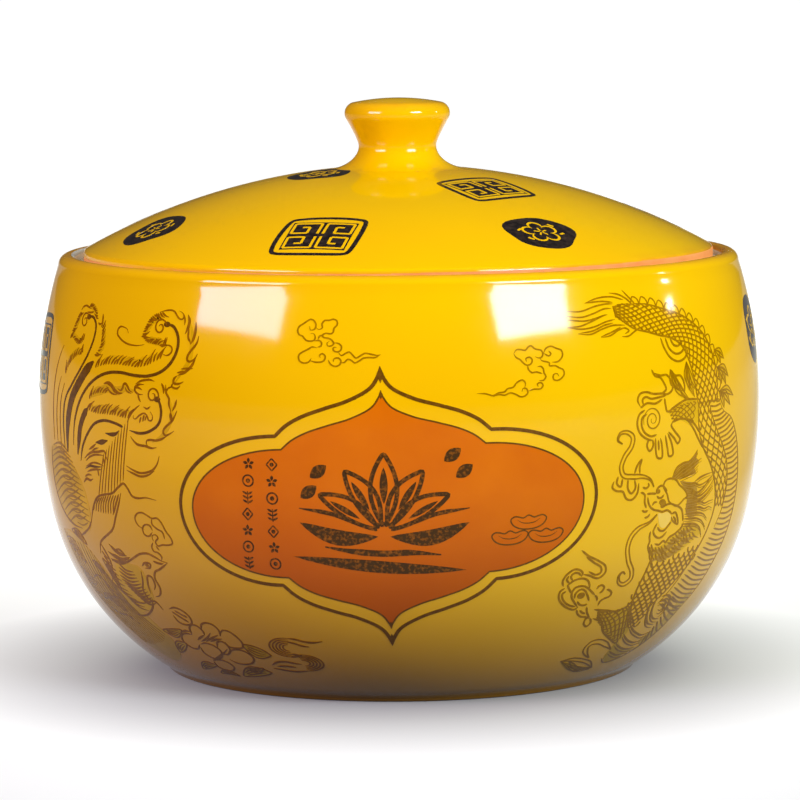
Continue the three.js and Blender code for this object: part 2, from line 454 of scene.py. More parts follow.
# Painted highlight: a paler patch for the glint inside the dragon's mouth
MOUTH_HIGHLIGHT = print_colour("mouth_highlight_print", (0.82, 0.555, 0.06, 1), (0.86, 0.60, 0.09, 1), WASH_GRAIN)
SHADE = print_colour("shade_print", (0.36, 0.19, 0.012, 1), (0.52, 0.29, 0.008, 1), WASH_GRAIN)
WASH = print_colour("wash_print", (0.57, 0.33, 0.0, 1), (0.74, 0.44, 0.0, 1), WASH_GRAIN)
GRAINY = print_colour("grainy_print", (0.055, 0.024, 0.002, 1), (0.30, 0.090, 0.002, 1), ROUGH_GRAIN)
BLACK = print_colour("black_print", (0.012, 0.009, 0.007, 1), (0.05, 0.035, 0.02, 1), SEAL_GRAIN)
ORANGE = panel_colour()


# How far the glaze wears thin on the edges, and how much painted shade browns the inner lip's right side
RIM_WEAR = 0.6
LIP_WEAR = 0.8
INNER_LIP_SHADE = 0.7
LIP_BREAK = 0.62 * pi
LID_EDGE_WEAR = 0.9
KNOB_WEAR = 0.5
KNOB_SINK = 0.3
COLLAR_SINK = 0.2


# Turned pieces

def jar_piece():
    glaze, inside, clay = 0, 1, 2
    rim_start = (RIM_RADIUS, JAR_HEIGHT - RIM_OUTER_ROUND)
    foot_inner = FOOT_RADIUS - FOOT_ROUND - FOOT_WIDTH
    recess = [(0, FOOT_RECESS)]
    recess += arc((foot_inner - 2 * FOOT_ROUND, FOOT_RECESS - FOOT_ROUND), FOOT_ROUND, pi / 2, 0)
    ring = arc((foot_inner, FOOT_ROUND), FOOT_ROUND, pi, 1.5 * pi)
    foot_edge = arc((FOOT_RADIUS - FOOT_ROUND, FOOT_ROUND), FOOT_ROUND, -pi / 2, -pi / 6)
    ring.append(foot_edge[0])
    foot_angle = angle_of(BASE_CENTRE, (FOOT_RADIUS, FOOT_ROUND))
    outside = foot_edge + arc(BASE_CENTRE, BASE_CURVE, foot_angle, -LEAN)
    outside += arc(BELLY_CENTRE, BELLY_CURVE, -LEAN, 0)
    outside += arc(SHOULDER_CENTRE, SHOULDER_CURVE, 0, angle_of(SHOULDER_CENTRE, rim_start))
    rim_centre = (RIM_RADIUS - RIM_OUTER_ROUND, JAR_HEIGHT - RIM_OUTER_ROUND)
    rim = arc(rim_centre, RIM_OUTER_ROUND, 0, pi / 2)
    rim_inner_centre = (GALLERY_RADIUS + RIM_INNER_ROUND, JAR_HEIGHT - RIM_INNER_ROUND)
    lip = arc(rim_inner_centre, RIM_INNER_ROUND, pi / 2, LIP_BREAK)
    inner_lip = arc(rim_inner_centre, RIM_INNER_ROUND, LIP_BREAK, pi)
    nose = LEDGE_HEIGHT - LEDGE_THICKNESS + LEDGE_NOSE
    gallery = [(GALLERY_RADIUS, LEDGE_HEIGHT)]
    gallery += arc((THROAT_RADIUS + LEDGE_NOSE, LEDGE_HEIGHT - LEDGE_NOSE), LEDGE_NOSE, pi / 2, pi)
    gallery += arc((THROAT_RADIUS + LEDGE_NOSE, nose), LEDGE_NOSE, pi, 1.5 * pi)
    inner_shoulder = SHOULDER_CURVE - WALL
    inner_base = BASE_CURVE - WALL
    under_ledge = LEDGE_HEIGHT - LEDGE_THICKNESS
    sweep_z = under_ledge - LEDGE_SWEEP
    sweep_end = (radius_at(SHOULDER_CENTRE, inner_shoulder, sweep_z), sweep_z)
    sweep_corner = (radius_at(SHOULDER_CENTRE, inner_shoulder, under_ledge), under_ledge)
    floor_corner = (radius_at(BASE_CENTRE, inner_base, FLOOR_HEIGHT), FLOOR_HEIGHT)
    fillet_z = FLOOR_HEIGHT + FLOOR_FILLET / 2
    fillet = (radius_at(BASE_CENTRE, inner_base, fillet_z), fillet_z)
    hollow = bezier(gallery[-1], sweep_corner, sweep_end)
    hollow += arc(SHOULDER_CENTRE, inner_shoulder, angle_of(SHOULDER_CENTRE, sweep_end), 0)
    hollow += arc(BELLY_CENTRE, BELLY_CURVE - WALL, 0, -LEAN)
    hollow += arc(BASE_CENTRE, inner_base, -LEAN, angle_of(BASE_CENTRE, fillet))
    hollow += bezier(fillet, floor_corner, (floor_corner[0] - FLOOR_FILLET, FLOOR_HEIGHT))
    hollow.append((0, FLOOR_HEIGHT))

    # Painted shade: the inner lip is brown-glazed on the right, where shade falls, and white on the left
    def shaded_lip_slot(r, z, turn):
        return glaze if sin(turn) > 0.2 + 0.1 * sin(7 * turn) else inside

    def rim_thin(r, z, turn):
        return RIM_WEAR * max(0.0, (z - rim_start[1]) / RIM_OUTER_ROUND) ** 4

    stretches = [
        (clay, recess, 0.0),
        (clay, ring, 0.0),
        (glaze, outside, 0.0),
        (glaze, rim, rim_thin),
        (glaze, lip, LIP_WEAR),
        (shaded_lip_slot, inner_lip, INNER_LIP_SHADE),
        (inside, gallery, 0.0),
        (inside, hollow, 0.0),
    ]
    piece = turned("jar_glazed", stretches, (YELLOW, WHITE, CLAY), "jar")
    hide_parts("jar_body")


def dome_piece():
    glaze, inside, clay = 0, 1, 2
    inner = DOME_CURVE - LID_THICKNESS
    hole = NECK_RADIUS - KNOB_WALL
    collar_inner = COLLAR_RADIUS - COLLAR_THICKNESS
    centre = (0, DOME_CENTRE)
    roll_radius = LID_RADIUS - LID_EDGE_ROUND
    roll = (roll_radius, dome_height(DOME_CURVE - LID_EDGE_ROUND, roll_radius))
    roll_angle = angle_of(centre, roll)
    fillet = (collar_inner - SEAT_FILLET, dome_height(inner, collar_inner - SEAT_FILLET))
    under_hole = (hole, dome_height(inner, hole))
    over_hole = (hole, dome_height(DOME_CURVE, hole))
    under = arc(centre, inner, angle_of(centre, under_hole), angle_of(centre, fillet))
    under += bezier(fillet, (collar_inner, dome_height(inner, collar_inner)), (collar_inner, SEAT_HEIGHT))
    seat = arc((LID_RADIUS - LID_SEAT_ROUND, SEAT_HEIGHT + LID_SEAT_ROUND), LID_SEAT_ROUND, -pi / 2, 0)
    band = [(LID_RADIUS, float(z)) for z in np.linspace(seat[-1][1], roll[1], 13)]
    shoulder = [(roll[0] + LID_EDGE_ROUND * cos(a), roll[1] + LID_EDGE_ROUND * sin(a))
                for a in np.linspace(0, roll_angle, 13)]
    top = arc(centre, DOME_CURVE, roll_angle, angle_of(centre, over_hole))

    def glaze_end(turn):
        return LID_GLAZE_END + LID_GLAZE_SWING * sin(turn) + 0.08 * sin(9 * turn) + 0.05 * sin(23 * turn)

    def edge_slot(r, z, turn):
        return clay if z < glaze_end(turn) else glaze

    def edge_thin(r, z, turn):
        return LID_EDGE_WEAR * max(0.0, 1 - abs(z - glaze_end(turn)) / LID_GLAZE_FADE)

    stretches = [
        (inside, under, 0.0),
        (clay, seat, 0.0),
        (edge_slot, band + shoulder, edge_thin),
        (glaze, top, 0.0),
    ]
    piece = turned("lid_glazed", stretches, (YELLOW, WHITE, CLAY), "lid", closed=True)
    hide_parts("lid_dome")


def collar_piece():
    bottom = SEAT_HEIGHT - COLLAR_DEPTH
    collar_inner = COLLAR_RADIUS - COLLAR_THICKNESS
    section = arc((collar_inner + COLLAR_ROUND, bottom + COLLAR_ROUND), COLLAR_ROUND, pi, 1.5 * pi)
    section += arc((COLLAR_RADIUS - COLLAR_ROUND, bottom + COLLAR_ROUND), COLLAR_ROUND, -pi / 2, 0)
    top = SEAT_HEIGHT + COLLAR_SINK
    section += [(COLLAR_RADIUS, top), (collar_inner, top)]
    piece = turned("lid_collar_glazed", [(0, section, 0.0)], (WHITE,), "lid", closed=True)
    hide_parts("lid_collar")


def knob_piece():
    glaze, inside = 0, 1
    hollow = NECK_RADIUS - KNOB_WALL
    hollow_top = KNOB_TOP - KNOB_CAP
    neck = (NECK_RADIUS, DOME_TOP + NECK_HEIGHT)
    sunk = DOME_CURVE - KNOB_SINK
    foot_under = (KNOB_FOOT_RADIUS, dome_height(sunk, KNOB_FOOT_RADIUS))
    foot_top = (KNOB_FOOT_RADIUS, dome_height(DOME_CURVE, KNOB_FOOT_RADIUS))
    centre = (0, DOME_CENTRE)
    bore = arc((0, hollow_top - hollow), hollow, pi / 2, 0)
    bore.append((hollow, dome_height(sunk, hollow)))
    under = arc(centre, sunk, angle_of(centre, bore[-1]), angle_of(centre, foot_under))
    foot_middle = (KNOB_FOOT_RADIUS + NECK_RADIUS) / 2
    flare = bezier(
        foot_top,
        (foot_middle, dome_height(DOME_CURVE, foot_middle) + 0.05),
        (NECK_RADIUS, (neck[1] + foot_top[1]) / 2),
        neck,
        count=24,
    )
    head = Vector((KNOB_RADIUS - HEAD_ROUND, KNOB_TOP - HEAD_DROP))
    roll_end = head + HEAD_ROUND * Vector((cos(HEAD_TAPER), -sin(HEAD_TAPER)))
    rise = roll_end.y - neck[1]
    taper_run = TAPER_STRAIGHT * rise
    throat = bezier(
        neck,
        (NECK_RADIUS, neck[1] + NECK_STRAIGHT * rise),
        (roll_end.x - taper_run * tan(HEAD_TAPER), roll_end.y - taper_run),
        roll_end,
        count=20,
    )
    roll_top = pi / 2 - CROWN_SLOPE
    crown_edge = head + HEAD_ROUND * Vector((cos(roll_top), sin(roll_top)))
    crown = bezier(crown_edge, (crown_edge.x / 2, KNOB_TOP), (0, KNOB_TOP), count=10)

    def roll_thin(r, z, turn):
        return KNOB_WEAR * max(0.0, (z - head.y) / HEAD_ROUND)

    def crown_thin(r, z, turn):
        return KNOB_WEAR * (r / crown_edge.x) ** 6

    stretches = [
        (inside, bore, 0.0),
        (inside, under, 0.0),
        (glaze, flare, 0.0),
        (glaze, throat, 0.0),
        (glaze, arc(head, HEAD_ROUND, -HEAD_TAPER, roll_top), roll_thin),
        (glaze, crown, crown_thin),
    ]
    piece = turned("knob_glazed", stretches, (YELLOW, WHITE), "lid")
    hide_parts("lid_knob")


jar_piece()
dome_piece()
collar_piece()
knob_piece()


# Drawing on the wall and the lid

FILL_LIFT = 0.05
LINE_LIFT = 0.09
SINK = 0.06
STROKE_STEP = 0.8
FILL_CELL = 4.0
TINY = 1e-9
PRINT_CREASE = radians(40)
TAPER = (0.3, 0.3)
BLUNT = (0, 0)
TIP_SHARE = 0.2


def on_wall(spots):
    """Places and directions out of the wall for (around, up) from the front of the belly."""
    around, up = np.asarray(spots, float).T
    turn = around / BELLY_RADIUS
    low_start = -LEAN * BELLY_CURVE
    above = up / SHOULDER_CURVE
    below = up / BELLY_CURVE
    base = -LEAN + (up - low_start) / BASE_CURVE
    parts = [up > 0, up > low_start]
    tilt = np.select(parts, [above, below], base)
    curve = np.select(parts, [SHOULDER_CURVE, BELLY_CURVE], BASE_CURVE)
    centre_r = np.select(parts, [SHOULDER_CENTRE[0], BELLY_CENTRE[0]], BASE_CENTRE[0])
    centre_z = np.where(up > low_start, BELLY_HEIGHT, BASE_CENTRE[1])
    r = centre_r + curve * np.cos(tilt)
    z = centre_z + curve * np.sin(tilt)
    place = np.stack([r * np.sin(turn), -r * np.cos(turn), z], -1)
    out = np.stack([np.cos(tilt) * np.sin(turn), -np.cos(tilt) * np.cos(turn), np.sin(tilt)], -1)
    return place, out


def on_lid(spots):
    """Places and directions out of the dome for (right, away) seen from above."""
    flat = np.asarray(spots, float)
    height = np.sqrt(DOME_CURVE ** 2 - (flat ** 2).sum(-1))
    out = np.concatenate([flat, height[:, None]], -1) / DOME_CURVE
    return out * DOME_CURVE + np.array([0, 0, DOME_CENTRE]), out


def smooth(points, closed=False, step=STROKE_STEP):
    """A smooth curve through the points, sampled every step."""
    knots = np.asarray(points, float)
    if closed:
        knots = np.concatenate([knots[-1:], knots, knots[:2]])
    else:
        knots = np.concatenate([[2 * knots[0] - knots[1]], knots, [2 * knots[-1] - knots[-2]]])
    out = []
    for p0, p1, p2, p3 in zip(knots, knots[1:], knots[2:], knots[3:]):
        t1 = np.sqrt(max(np.linalg.norm(p1 - p0), 1e-6))
        t2 = t1 + np.sqrt(max(np.linalg.norm(p2 - p1), 1e-6))
        t3 = t2 + np.sqrt(max(np.linalg.norm(p3 - p2), 1e-6))
        count = max(2, ceil(np.linalg.norm(p2 - p1) / step))
        t = np.linspace(t1, t2, count, endpoint=False)[:, None]
        a = p0 + (p1 - p0) * t / t1
        b = p1 + (p2 - p1) * (t - t1) / (t2 - t1)
        c = p2 + (p3 - p2) * (t - t2) / (t3 - t2)
        d = a + (b - a) * t / t2
        e = b + (c - b) * (t - t1) / (t3 - t1)
        out.append(d + (e - d) * (t - t1) / (t2 - t1))
    if not closed:
        out.append(knots[-2][None])
    return np.concatenate(out)


class Drawing:
    """Thin raised strokes and fills that follow one surface."""

    def __init__(self, surface, lift=LINE_LIFT):
        self.surface = surface
        self.lift = lift
        self.verts = []
        self.faces = []
        self.count = 0

    def add(self, verts, faces):
        self.verts.append(verts)
        self.faces += [tuple(self.count + i for i in face) for face in faces]
        self.count += len(verts)

    def line(self, path, width, ends):
        """A stroke along a sampled path, narrowing over a share of its length at each end."""
        path = np.asarray(path, float)
        place, out = self.surface(path)
        along = np.gradient(place, axis=0)
        side = np.cross(out, along)
        side /= np.maximum(np.linalg.norm(side, axis=1), TINY)[:, None]
        far = np.concatenate([[0], np.cumsum(np.linalg.norm(np.diff(place, axis=0), axis=1))])
        far /= max(far[-1], TINY)
        swell = np.ones(len(path))
        if ends[0] > 0:
            swell = np.minimum(swell, TIP_SHARE + (1 - TIP_SHARE) * np.minimum(1, far / ends[0]))
        if ends[1] > 0:
            swell = np.minimum(swell, TIP_SHARE + (1 - TIP_SHARE) * np.minimum(1, (1 - far) / ends[1]))
        half = (swell * width / 2)[:, None] * side
        top = place + out * self.lift
        under = place - out * SINK
        verts = np.stack([top + half, top - half, under - half, under + half], 1).reshape(-1, 3)
        faces = []
        for i in range(len(path) - 1):
            a = 4 * i
            faces += [(a + k, a + 4 + k, a + 4 + (k + 1) % 4, a + (k + 1) % 4) for k in range(4)]
        end = 4 * (len(path) - 1)
        faces += [(0, 1, 2, 3), (end + 3, end + 2, end + 1, end)]
        self.add(verts, faces)

    def stroke(self, points, width, ends=TAPER, closed=False):
        """A stroke along the smooth curve through the points."""
        path = smooth(points, closed)
        if closed:
            path = np.concatenate([path, path[:1]])
            ends = BLUNT
        self.line(path, width, ends)

    def strokes(self, lines, width, ends):
        for points in lines:
            self.stroke(points, width, ends)

    def own_strokes(self, lines, ends):
        """Strokes that each come with their own width."""
        for points, width in lines:
            self.stroke(points, width, ends)

    def polyline(self, points, width):
        """A stroke with straight runs between its points."""
        for start, end in zip(points, points[1:]):
            count = max(2, ceil(hypot(end[0] - start[0], end[1] - start[1]) / 2))
            self.line(np.linspace(start, end, count + 1), width, BLUNT)

    def fill(self, outline, lift=FILL_LIFT):
        """A closed plate of the outline's shape, cut small enough to follow the surface."""
        flat = bmesh.new()
        flat.faces.new([flat.verts.new((x, y, 0)) for x, y in outline])
        low = np.min(outline, axis=0)
        high = np.max(outline, axis=0)
        for axis in (0, 1):
            across = Vector((1, 0, 0)) if axis == 0 else Vector((0, 1, 0))
            for cut in np.arange(ceil(low[axis] / FILL_CELL), ceil(high[axis] / FILL_CELL)) * FILL_CELL:
                geometry = flat.verts[:] + flat.edges[:] + flat.faces[:]
                bmesh.ops.bisect_plane(flat, geom=geometry, plane_co=across * cut, plane_no=across)
        bmesh.ops.triangulate(flat, faces=flat.faces[:])
        if sum(f.normal.z for f in flat.faces) < 0:
            bmesh.ops.reverse_faces(flat, faces=flat.faces[:])
        flat.verts.index_update()
        spots = [(v.co.x, v.co.y) for v in flat.verts]
        place, out = self.surface(spots)
        top = [tuple(v.index for v in f.verts) for f in flat.faces]
        shift = len(spots)
        faces = top + [tuple(shift + i for i in reversed(f)) for f in top]
        for edge in flat.edges:
            if len(edge.link_faces) == 1:
                loop = [k for k in edge.link_faces[0].loops if k.edge == edge][0]
                a = loop.vert.index
                b = loop.link_loop_next.vert.index
                faces.append((b, a, a + shift, b + shift))
        flat.free()
        self.add(np.concatenate([place + out * lift, place - out * SINK]), faces)

    def dot(self, centre, wide, high, count):
        self.fill(ellipse(centre, wide, high, count=count)[:-1], LINE_LIFT)

    def piece(self, name, material, body):
        mesh = bpy.data.meshes.new(name)
        mesh.from_pydata((np.concatenate(self.verts) * MM).tolist(), [], self.faces)
        mesh.materials.append(material)
        shade_smooth(mesh, PRINT_CREASE)
        made = bpy.data.objects.new(name, mesh)
        bpy.context.collection.objects.link(made)
        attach(made, body)


# Ornament helpers

def placed(points, centre, turn=0.0, size=1.0):
    """Points of a small motif moved to its place."""
    spots = np.asarray(points, float) * size
    x = spots[:, 0] * cos(turn) - spots[:, 1] * sin(turn)
    y = spots[:, 0] * sin(turn) + spots[:, 1] * cos(turn)
    return np.stack([x + centre[0], y + centre[1]], -1)


def ellipse(centre, wide, high, start=0.0, end=tau, count=24):
    angles = np.linspace(start, end, count + 1)
    return np.stack([centre[0] + wide * np.cos(angles), centre[1] + high * np.sin(angles)], -1)


def spiral(centre, outer, inner, start, turns):
    """A curl that winds inwards from its start angle."""
    share = np.linspace(0, 1, max(8, int(abs(turns) * 14)))
    angles = start + share * turns * tau
    radius = outer + (inner - outer) * share
    return np.stack([centre[0] + radius * np.cos(angles), centre[1] + radius * np.sin(angles)], -1)


def leaf(base, tip, width, bend=0.0):
    """Outline of a pointed leaf or petal, bent sideways by a share of its length."""
    share = np.linspace(0, 1, 13)
    base = np.asarray(base, float)
    along = np.asarray(tip, float) - base
    across = np.array([-along[1], along[0]])
    spine = base + share[:, None] * along + (bend * np.sin(pi * share))[:, None] * across
    half = (width / 2 * np.sin(pi * share) ** 0.8)[:, None] * across / np.linalg.norm(across)
    return np.concatenate([spine + half, (spine - half)[-2:0:-1]])


def between(first, second, share):
    return np.asarray(first) * (1 - share) + np.asarray(second) * share


def evenly(points, count):
    """Equally spaced points along the smooth curve through the given ones."""
    path = smooth(points)
    far = np.concatenate([[0], np.cumsum(np.linalg.norm(np.diff(path, axis=0), axis=1))])
    at = np.linspace(0, far[-1], count)
    return np.stack([np.interp(at, far, path[:, 0]), np.interp(at, far, path[:, 1])], -1)


# Medallion on the front

PANEL_CENTRE = (-5, -27)
PANEL_TURN = radians(1.7)
# Each edge has its tip, upper cusp, lower cusp, middle and reach
OUTER_EDGE = (48.3, (36.5, 27.7), (38.5, -24.3), 2.2, 75)
INNER_EDGE = (41.2, (34.5, 23.2), (35.8, -21.4), 1.4, 70)
OUTER_LINE = 1.25
INNER_LINE = 0.6
# Each spike has its height and size
SPIKES = ((47.6, 2.9), (40.9, 1.6))
SPIKE_WIDTH = 0.42
OGEE = ((0, 0), (0.09, 0.24), (0.3, 0.44), (0.53, 0.565), (0.74, 0.69), (0.89, 0.83), (1, 1))


def cartouche(tip, upper, lower, middle, reach):
    """Outline with a point above and below, a cusp at each shoulder and a round lobe at each side."""
    top = smooth([(x * upper[0], tip + y * (upper[1] - tip)) for x, y in OGEE])
    foot = smooth([(x * lower[0], -tip + y * (lower[1] + tip)) for x, y in OGEE])
    rise = ellipse((upper[0], middle), reach - upper[0], upper[1] - middle, pi / 2, 0)
    fall = ellipse((lower[0], middle), reach - lower[0], middle - lower[1], 0, -pi / 2)
    right = np.concatenate([top, rise[1:], fall[1:-1], foot[::-1]])
    left = right[::-1] * np.array([-1, 1])
    return placed(np.concatenate([right, left[1:-1]]), PANEL_CENTRE, PANEL_TURN)


def spike(drawing, height, sign, size):
    """The sharp thick point of the medallion's line."""
    half = size * SPIKE_WIDTH
    outline = [(0, sign * (height + size)), (-half, sign * height)]
    outline += [(0, sign * (height - size)), (half, sign * height)]
    drawing.fill(placed(outline, PANEL_CENTRE, PANEL_TURN), LINE_LIFT)


def medallion():
    outer = cartouche(*OUTER_EDGE)
    inner = cartouche(*INNER_EDGE)
    panel = Drawing(on_wall)
    panel.fill(inner)
    panel.piece("medallion_panel", ORANGE, "jar")
    lines = Drawing(on_wall)
    for outline, width in ((outer, OUTER_LINE), (inner, INNER_LINE)):
        lines.line(np.concatenate([outline, outline[:1]]), width, BLUNT)
    for sign in (1, -1):
        for height, size in SPIKES:
            spike(lines, height, sign, size)
    lines.piece("medallion_lines", BROWN, "jar")


# Ingots and the small signs of the panel

INGOT = (
    (-6.5, 1.0), (-5.2, 2.0), (-3.4, 1.8), (-2.0, 1.4), (0, 2.3), (2.0, 1.4), (3.4, 1.8),
    (5.2, 2.0), (6.5, 1.0), (5.6, -0.9), (2.8, -2.3), (-2.8, -2.3), (-5.6, -0.9),
)
INGOT_WAIST = ((-4.2, 0.9), (-2.0, -0.3), (2.0, -0.3), (4.2, 0.9))
INGOT_PLACES = ((44.5, -30.2), (38.0, -35.4), (51.2, -35.2))


def ingots():
    drawing = Drawing(on_wall)
    for centre in INGOT_PLACES:
        drawing.stroke(placed(INGOT, centre, PANEL_TURN), 0.5, closed=True)
        drawing.stroke(placed(INGOT_WAIST, centre, PANEL_TURN), 0.35)
    drawing.piece("ingots", BROWN, "jar")


def sprig(drawing, centre, kind):
    """A small filler sign: a blossom, a coin, a fern or a lozenge."""
    if kind == 0:
        for i in range(5):
            angle = tau * i / 5 + pi / 2
            petal = leaf((0.3 * cos(angle), 0.3 * sin(angle)), (2.1 * cos(angle), 2.1 * sin(angle)), 1.05)
            drawing.fill(placed(petal, centre), LINE_LIFT)
    elif kind == 1:
        drawing.stroke(ellipse(centre, 1.9, 1.9, count=16)[:-1], 0.55, closed=True)
        drawing.dot(centre, 0.8, 0.8, 10)
    elif kind == 2:
        for side in (-1, 1):
            for rise in (-1.9, -0.4, 1.0):
                drawing.fill(placed(leaf((0, rise), (side * 1.9, rise + 1.1), 0.75), centre), LINE_LIFT)
        drawing.polyline(placed([(0, 2.1), (0, -2.3)], centre), 0.4)
    else:
        diamond = [(0, 2.1), (-1.9, 0), (0, -2.1), (1.9, 0), (0, 2.1)]
        drawing.polyline(placed(diamond, centre), 0.5)
        drawing.dot(centre, 0.75, 0.75, 10)


# Each column has its place, its drift from row to row and the kind of sign it starts with
SIGN_COLUMNS = ((-52.0, -0.42, 0), (-43.6, -0.15, 3))
SIGN_ROWS = 7
SIGN_KINDS = 4
SIGN_TOP = -10.0
SIGN_STEP = 5.75


def sign_columns():
    drawing = Drawing(on_wall)
    for u, drift, first in SIGN_COLUMNS:
        for row in range(SIGN_ROWS):
            sprig(drawing, (u + drift * row, SIGN_TOP - SIGN_STEP * row), (row + first) % SIGN_KINDS)
    drawing.piece("panel_signs", GRAINY, "jar")


# The lotus on the water in the middle of the panel

LOTUS_HEART = (-5.5, -33)
LOTUS_LINE = 1.5
# Each petal has its direction in degrees, its length, width and bend
PETALS = (
    (90, 27, 9, 0), (62, 24, 7.5, 0.05), (118, 24, 7.5, -0.05), (35, 23, 6.5, 0.05), (145, 23, 6.5, -0.05),
)
PETAL_SPREAD = 1.15
WATER = ((-26, -37.8), (-17, -39.2), (-6, -40), (4, -39.7), (14, -40.6))
BUDS = ((-31, -19), (21.5, -12), (17.5, -6.5), (-27.5, -12))


def lotus():
    drawing = Drawing(on_wall)
    u, s = LOTUS_HEART
    for angle, reach, width, bend in PETALS:
        way = (cos(radians(angle)), sin(radians(angle)))
        base = (u + 3 * way[0], s + 3 * way[1])
        tip = (u + reach * way[0] * PETAL_SPREAD, s + reach * way[1])
        drawing.stroke(leaf(base, tip, width, bend), LOTUS_LINE, closed=True)
        drawing.fill(leaf(between(base, tip, 0.3), between(base, tip, 0.82), width * 0.3), LINE_LIFT)
    for side in (-1, 1):
        low = leaf((u + side * 2, s - 1), (u + side * 29, s + 3.5), 5.5, side * -0.1)
        drawing.fill(low, LINE_LIFT)
        edge = [(u + side * 5, s + 1.5), (u + side * 17, s + 6.5), (u + side * 29, s + 8.5)]
        drawing.stroke(edge, LOTUS_LINE)
    drawing.fill(leaf((-37.5, -41.5), (23, -46.3), 4.4, -0.015), LINE_LIFT)
    drawing.stroke(WATER, 2.2)
    for spot in BUDS:
        bud = leaf((spot[0] - 2.8, spot[1] - 2), (spot[0] + 2.8, spot[1] + 2.2), 4.2)
        drawing.fill(bud, LINE_LIFT)
    drawing.piece("panel_lotus", GRAINY, "jar")


# Clouds above the medallion

CLOUD_LEFT = (
    ((-30.8, 36.5), (-30.5, 35.2), (-29, 35.5), (-28.6, 37), (-29.3, 38.3), (-30.5, 38.8), (-32, 38),
     (-33, 37.3), (-34.5, 36.3), (-35, 35), (-34.5, 33.7), (-33, 33), (-32, 31.8), (-30.5, 31.5),
     (-29, 31.8), (-28.7, 33), (-29.3, 34), (-30.3, 34)),
    ((-28.5, 36), (-27.5, 35.4), (-26.3, 36), (-26.5, 37.3), (-25.5, 38.5), (-24, 38.5), (-22.5, 38.9),
     (-21.3, 38.3), (-21.2, 37), (-22.3, 35.8), (-22.5, 34.5), (-23.5, 34), (-25, 34.2), (-26.2, 33.5),
     (-25.8, 32.8), (-24, 32.5), (-22.8, 31.8), (-22.2, 30.7), (-23, 30), (-24.3, 30), (-24.5, 31),
     (-23.7, 31.5)),
    ((-22, 31), (-20.5, 30.8), (-19.5, 29.8), (-19.8, 28.5), (-21, 28), (-22.3, 28.5), (-22.2, 29.5),
     (-21.2, 29.5)),
    ((-20.5, 27.8), (-19.5, 26.8), (-18, 27.6), (-16.8, 28), (-15.5, 26.8), (-14.5, 26), (-13, 26.8),
     (-11.5, 27.6), (-9.5, 27.3), (-7.5, 26.9), (-6.2, 27.2)),
    ((-6.2, 27.2), (-8, 26.2), (-10, 26.2), (-12, 26), (-13.5, 25), (-15, 24.4), (-16, 25.2),
     (-17.3, 25.6), (-18.5, 24.5), (-20, 24.4)),
    ((-24, 25.3), (-23, 23.8), (-21.5, 23.2), (-20, 23.8), (-19.6, 25), (-20.5, 26), (-22, 25.7),
     (-22.2, 24.7)),
    ((-28, 29.3), (-29.5, 29.6), (-31, 28.8), (-33, 27.8), (-34.2, 26.8), (-34, 25), (-32.5, 24.2),
     (-30.8, 24.5), (-29.8, 25.8)),
    ((-30, 25), (-28, 24.5), (-25.5, 25), (-25, 26.5), (-26, 27.4), (-27, 26.8), (-26.7, 26)),
    ((-28.7, 31.6), (-27.4, 31.8), (-26.4, 31), (-26.6, 29.9), (-27.8, 29.5)),
    ((-26, 33.6), (-27.2, 33.2), (-27.6, 32.2)),
)
CLOUD_RIGHT = (
    ((39.3, 26.5), (40.3, 27.8), (42, 27.8), (43.5, 27.5), (44.5, 28.5), (45.7, 29), (46.8, 28),
     (48, 27.6), (49.3, 27.3), (49.8, 26), (49.3, 25), (48, 24.8), (47, 25.3)),
    ((39.3, 26.5), (40, 25.3), (41.5, 24.5), (42.5, 23.3), (44, 22.5), (45.3, 23), (45.8, 24.3),
     (44.8, 25.2), (43.5, 24.7), (43.7, 23.7)),
    ((50, 26), (51, 27.8), (53, 28.5), (55, 27.7), (56.8, 27), (57.2, 25.5), (56.3, 24), (55, 23.2),
     (53, 23.2)),
    ((50.3, 26.2), (52, 25.3), (52.8, 26), (52, 27)),
    ((49, 25), (49, 24), (50.5, 23.5), (52, 23), (52, 22), (54, 22), (55.5, 21.2), (57, 20.5),
     (57.3, 19), (56, 17.5), (54.5, 17), (53.2, 17.5), (53.3, 19), (54.7, 19.3), (55.3, 18.3)),
    ((44, 22.5), (44.3, 21), (45.5, 20), (47, 20.2), (49.2, 19.5)),
    ((47.5, 21.8), (48.8, 22), (49.7, 21), (49.8, 19.8), (50.5, 18.5), (49.5, 17.3), (48, 17.3)),
    ((26, 13.8), (29, 13.6), (31.5, 12.9), (33.5, 13.8), (35.5, 14), (36.5, 15), (38.5, 15.4), (40, 17),
     (42, 17.7), (43, 16.5), (42.5, 15)),
    ((31.5, 12.5), (33.5, 13.2), (35.5, 12.9), (37.5, 13.6), (39.5, 13), (41, 12.2), (42.5, 12.3),
     (43.7, 13.5), (43.2, 14.8), (42, 14.9), (41.6, 13.8)),
    ((44, 14), (46, 14.5), (48.3, 14.5), (49.3, 15.6), (48.5, 16.6), (47.2, 16.2), (47.5, 15.2)),
)


def clouds():
    drawing = Drawing(on_wall)
    drawing.strokes(CLOUD_LEFT + CLOUD_RIGHT, 0.55, (0.12, 0.12))
    drawing.piece("clouds", GOLD, "jar")


# Seals scattered over the lid and the wall

SEAL_LINE = 1.6
SEAL_INSET = 2.2
FRET_LINE = 0.95
PETAL_LINE = 0.9
KEY_FRET = ((-1, -1), (-1, 1), (1, 1), (1, -0.9), (-0.2, -0.9), (-0.2, 0.25), (0.35, 0.25))


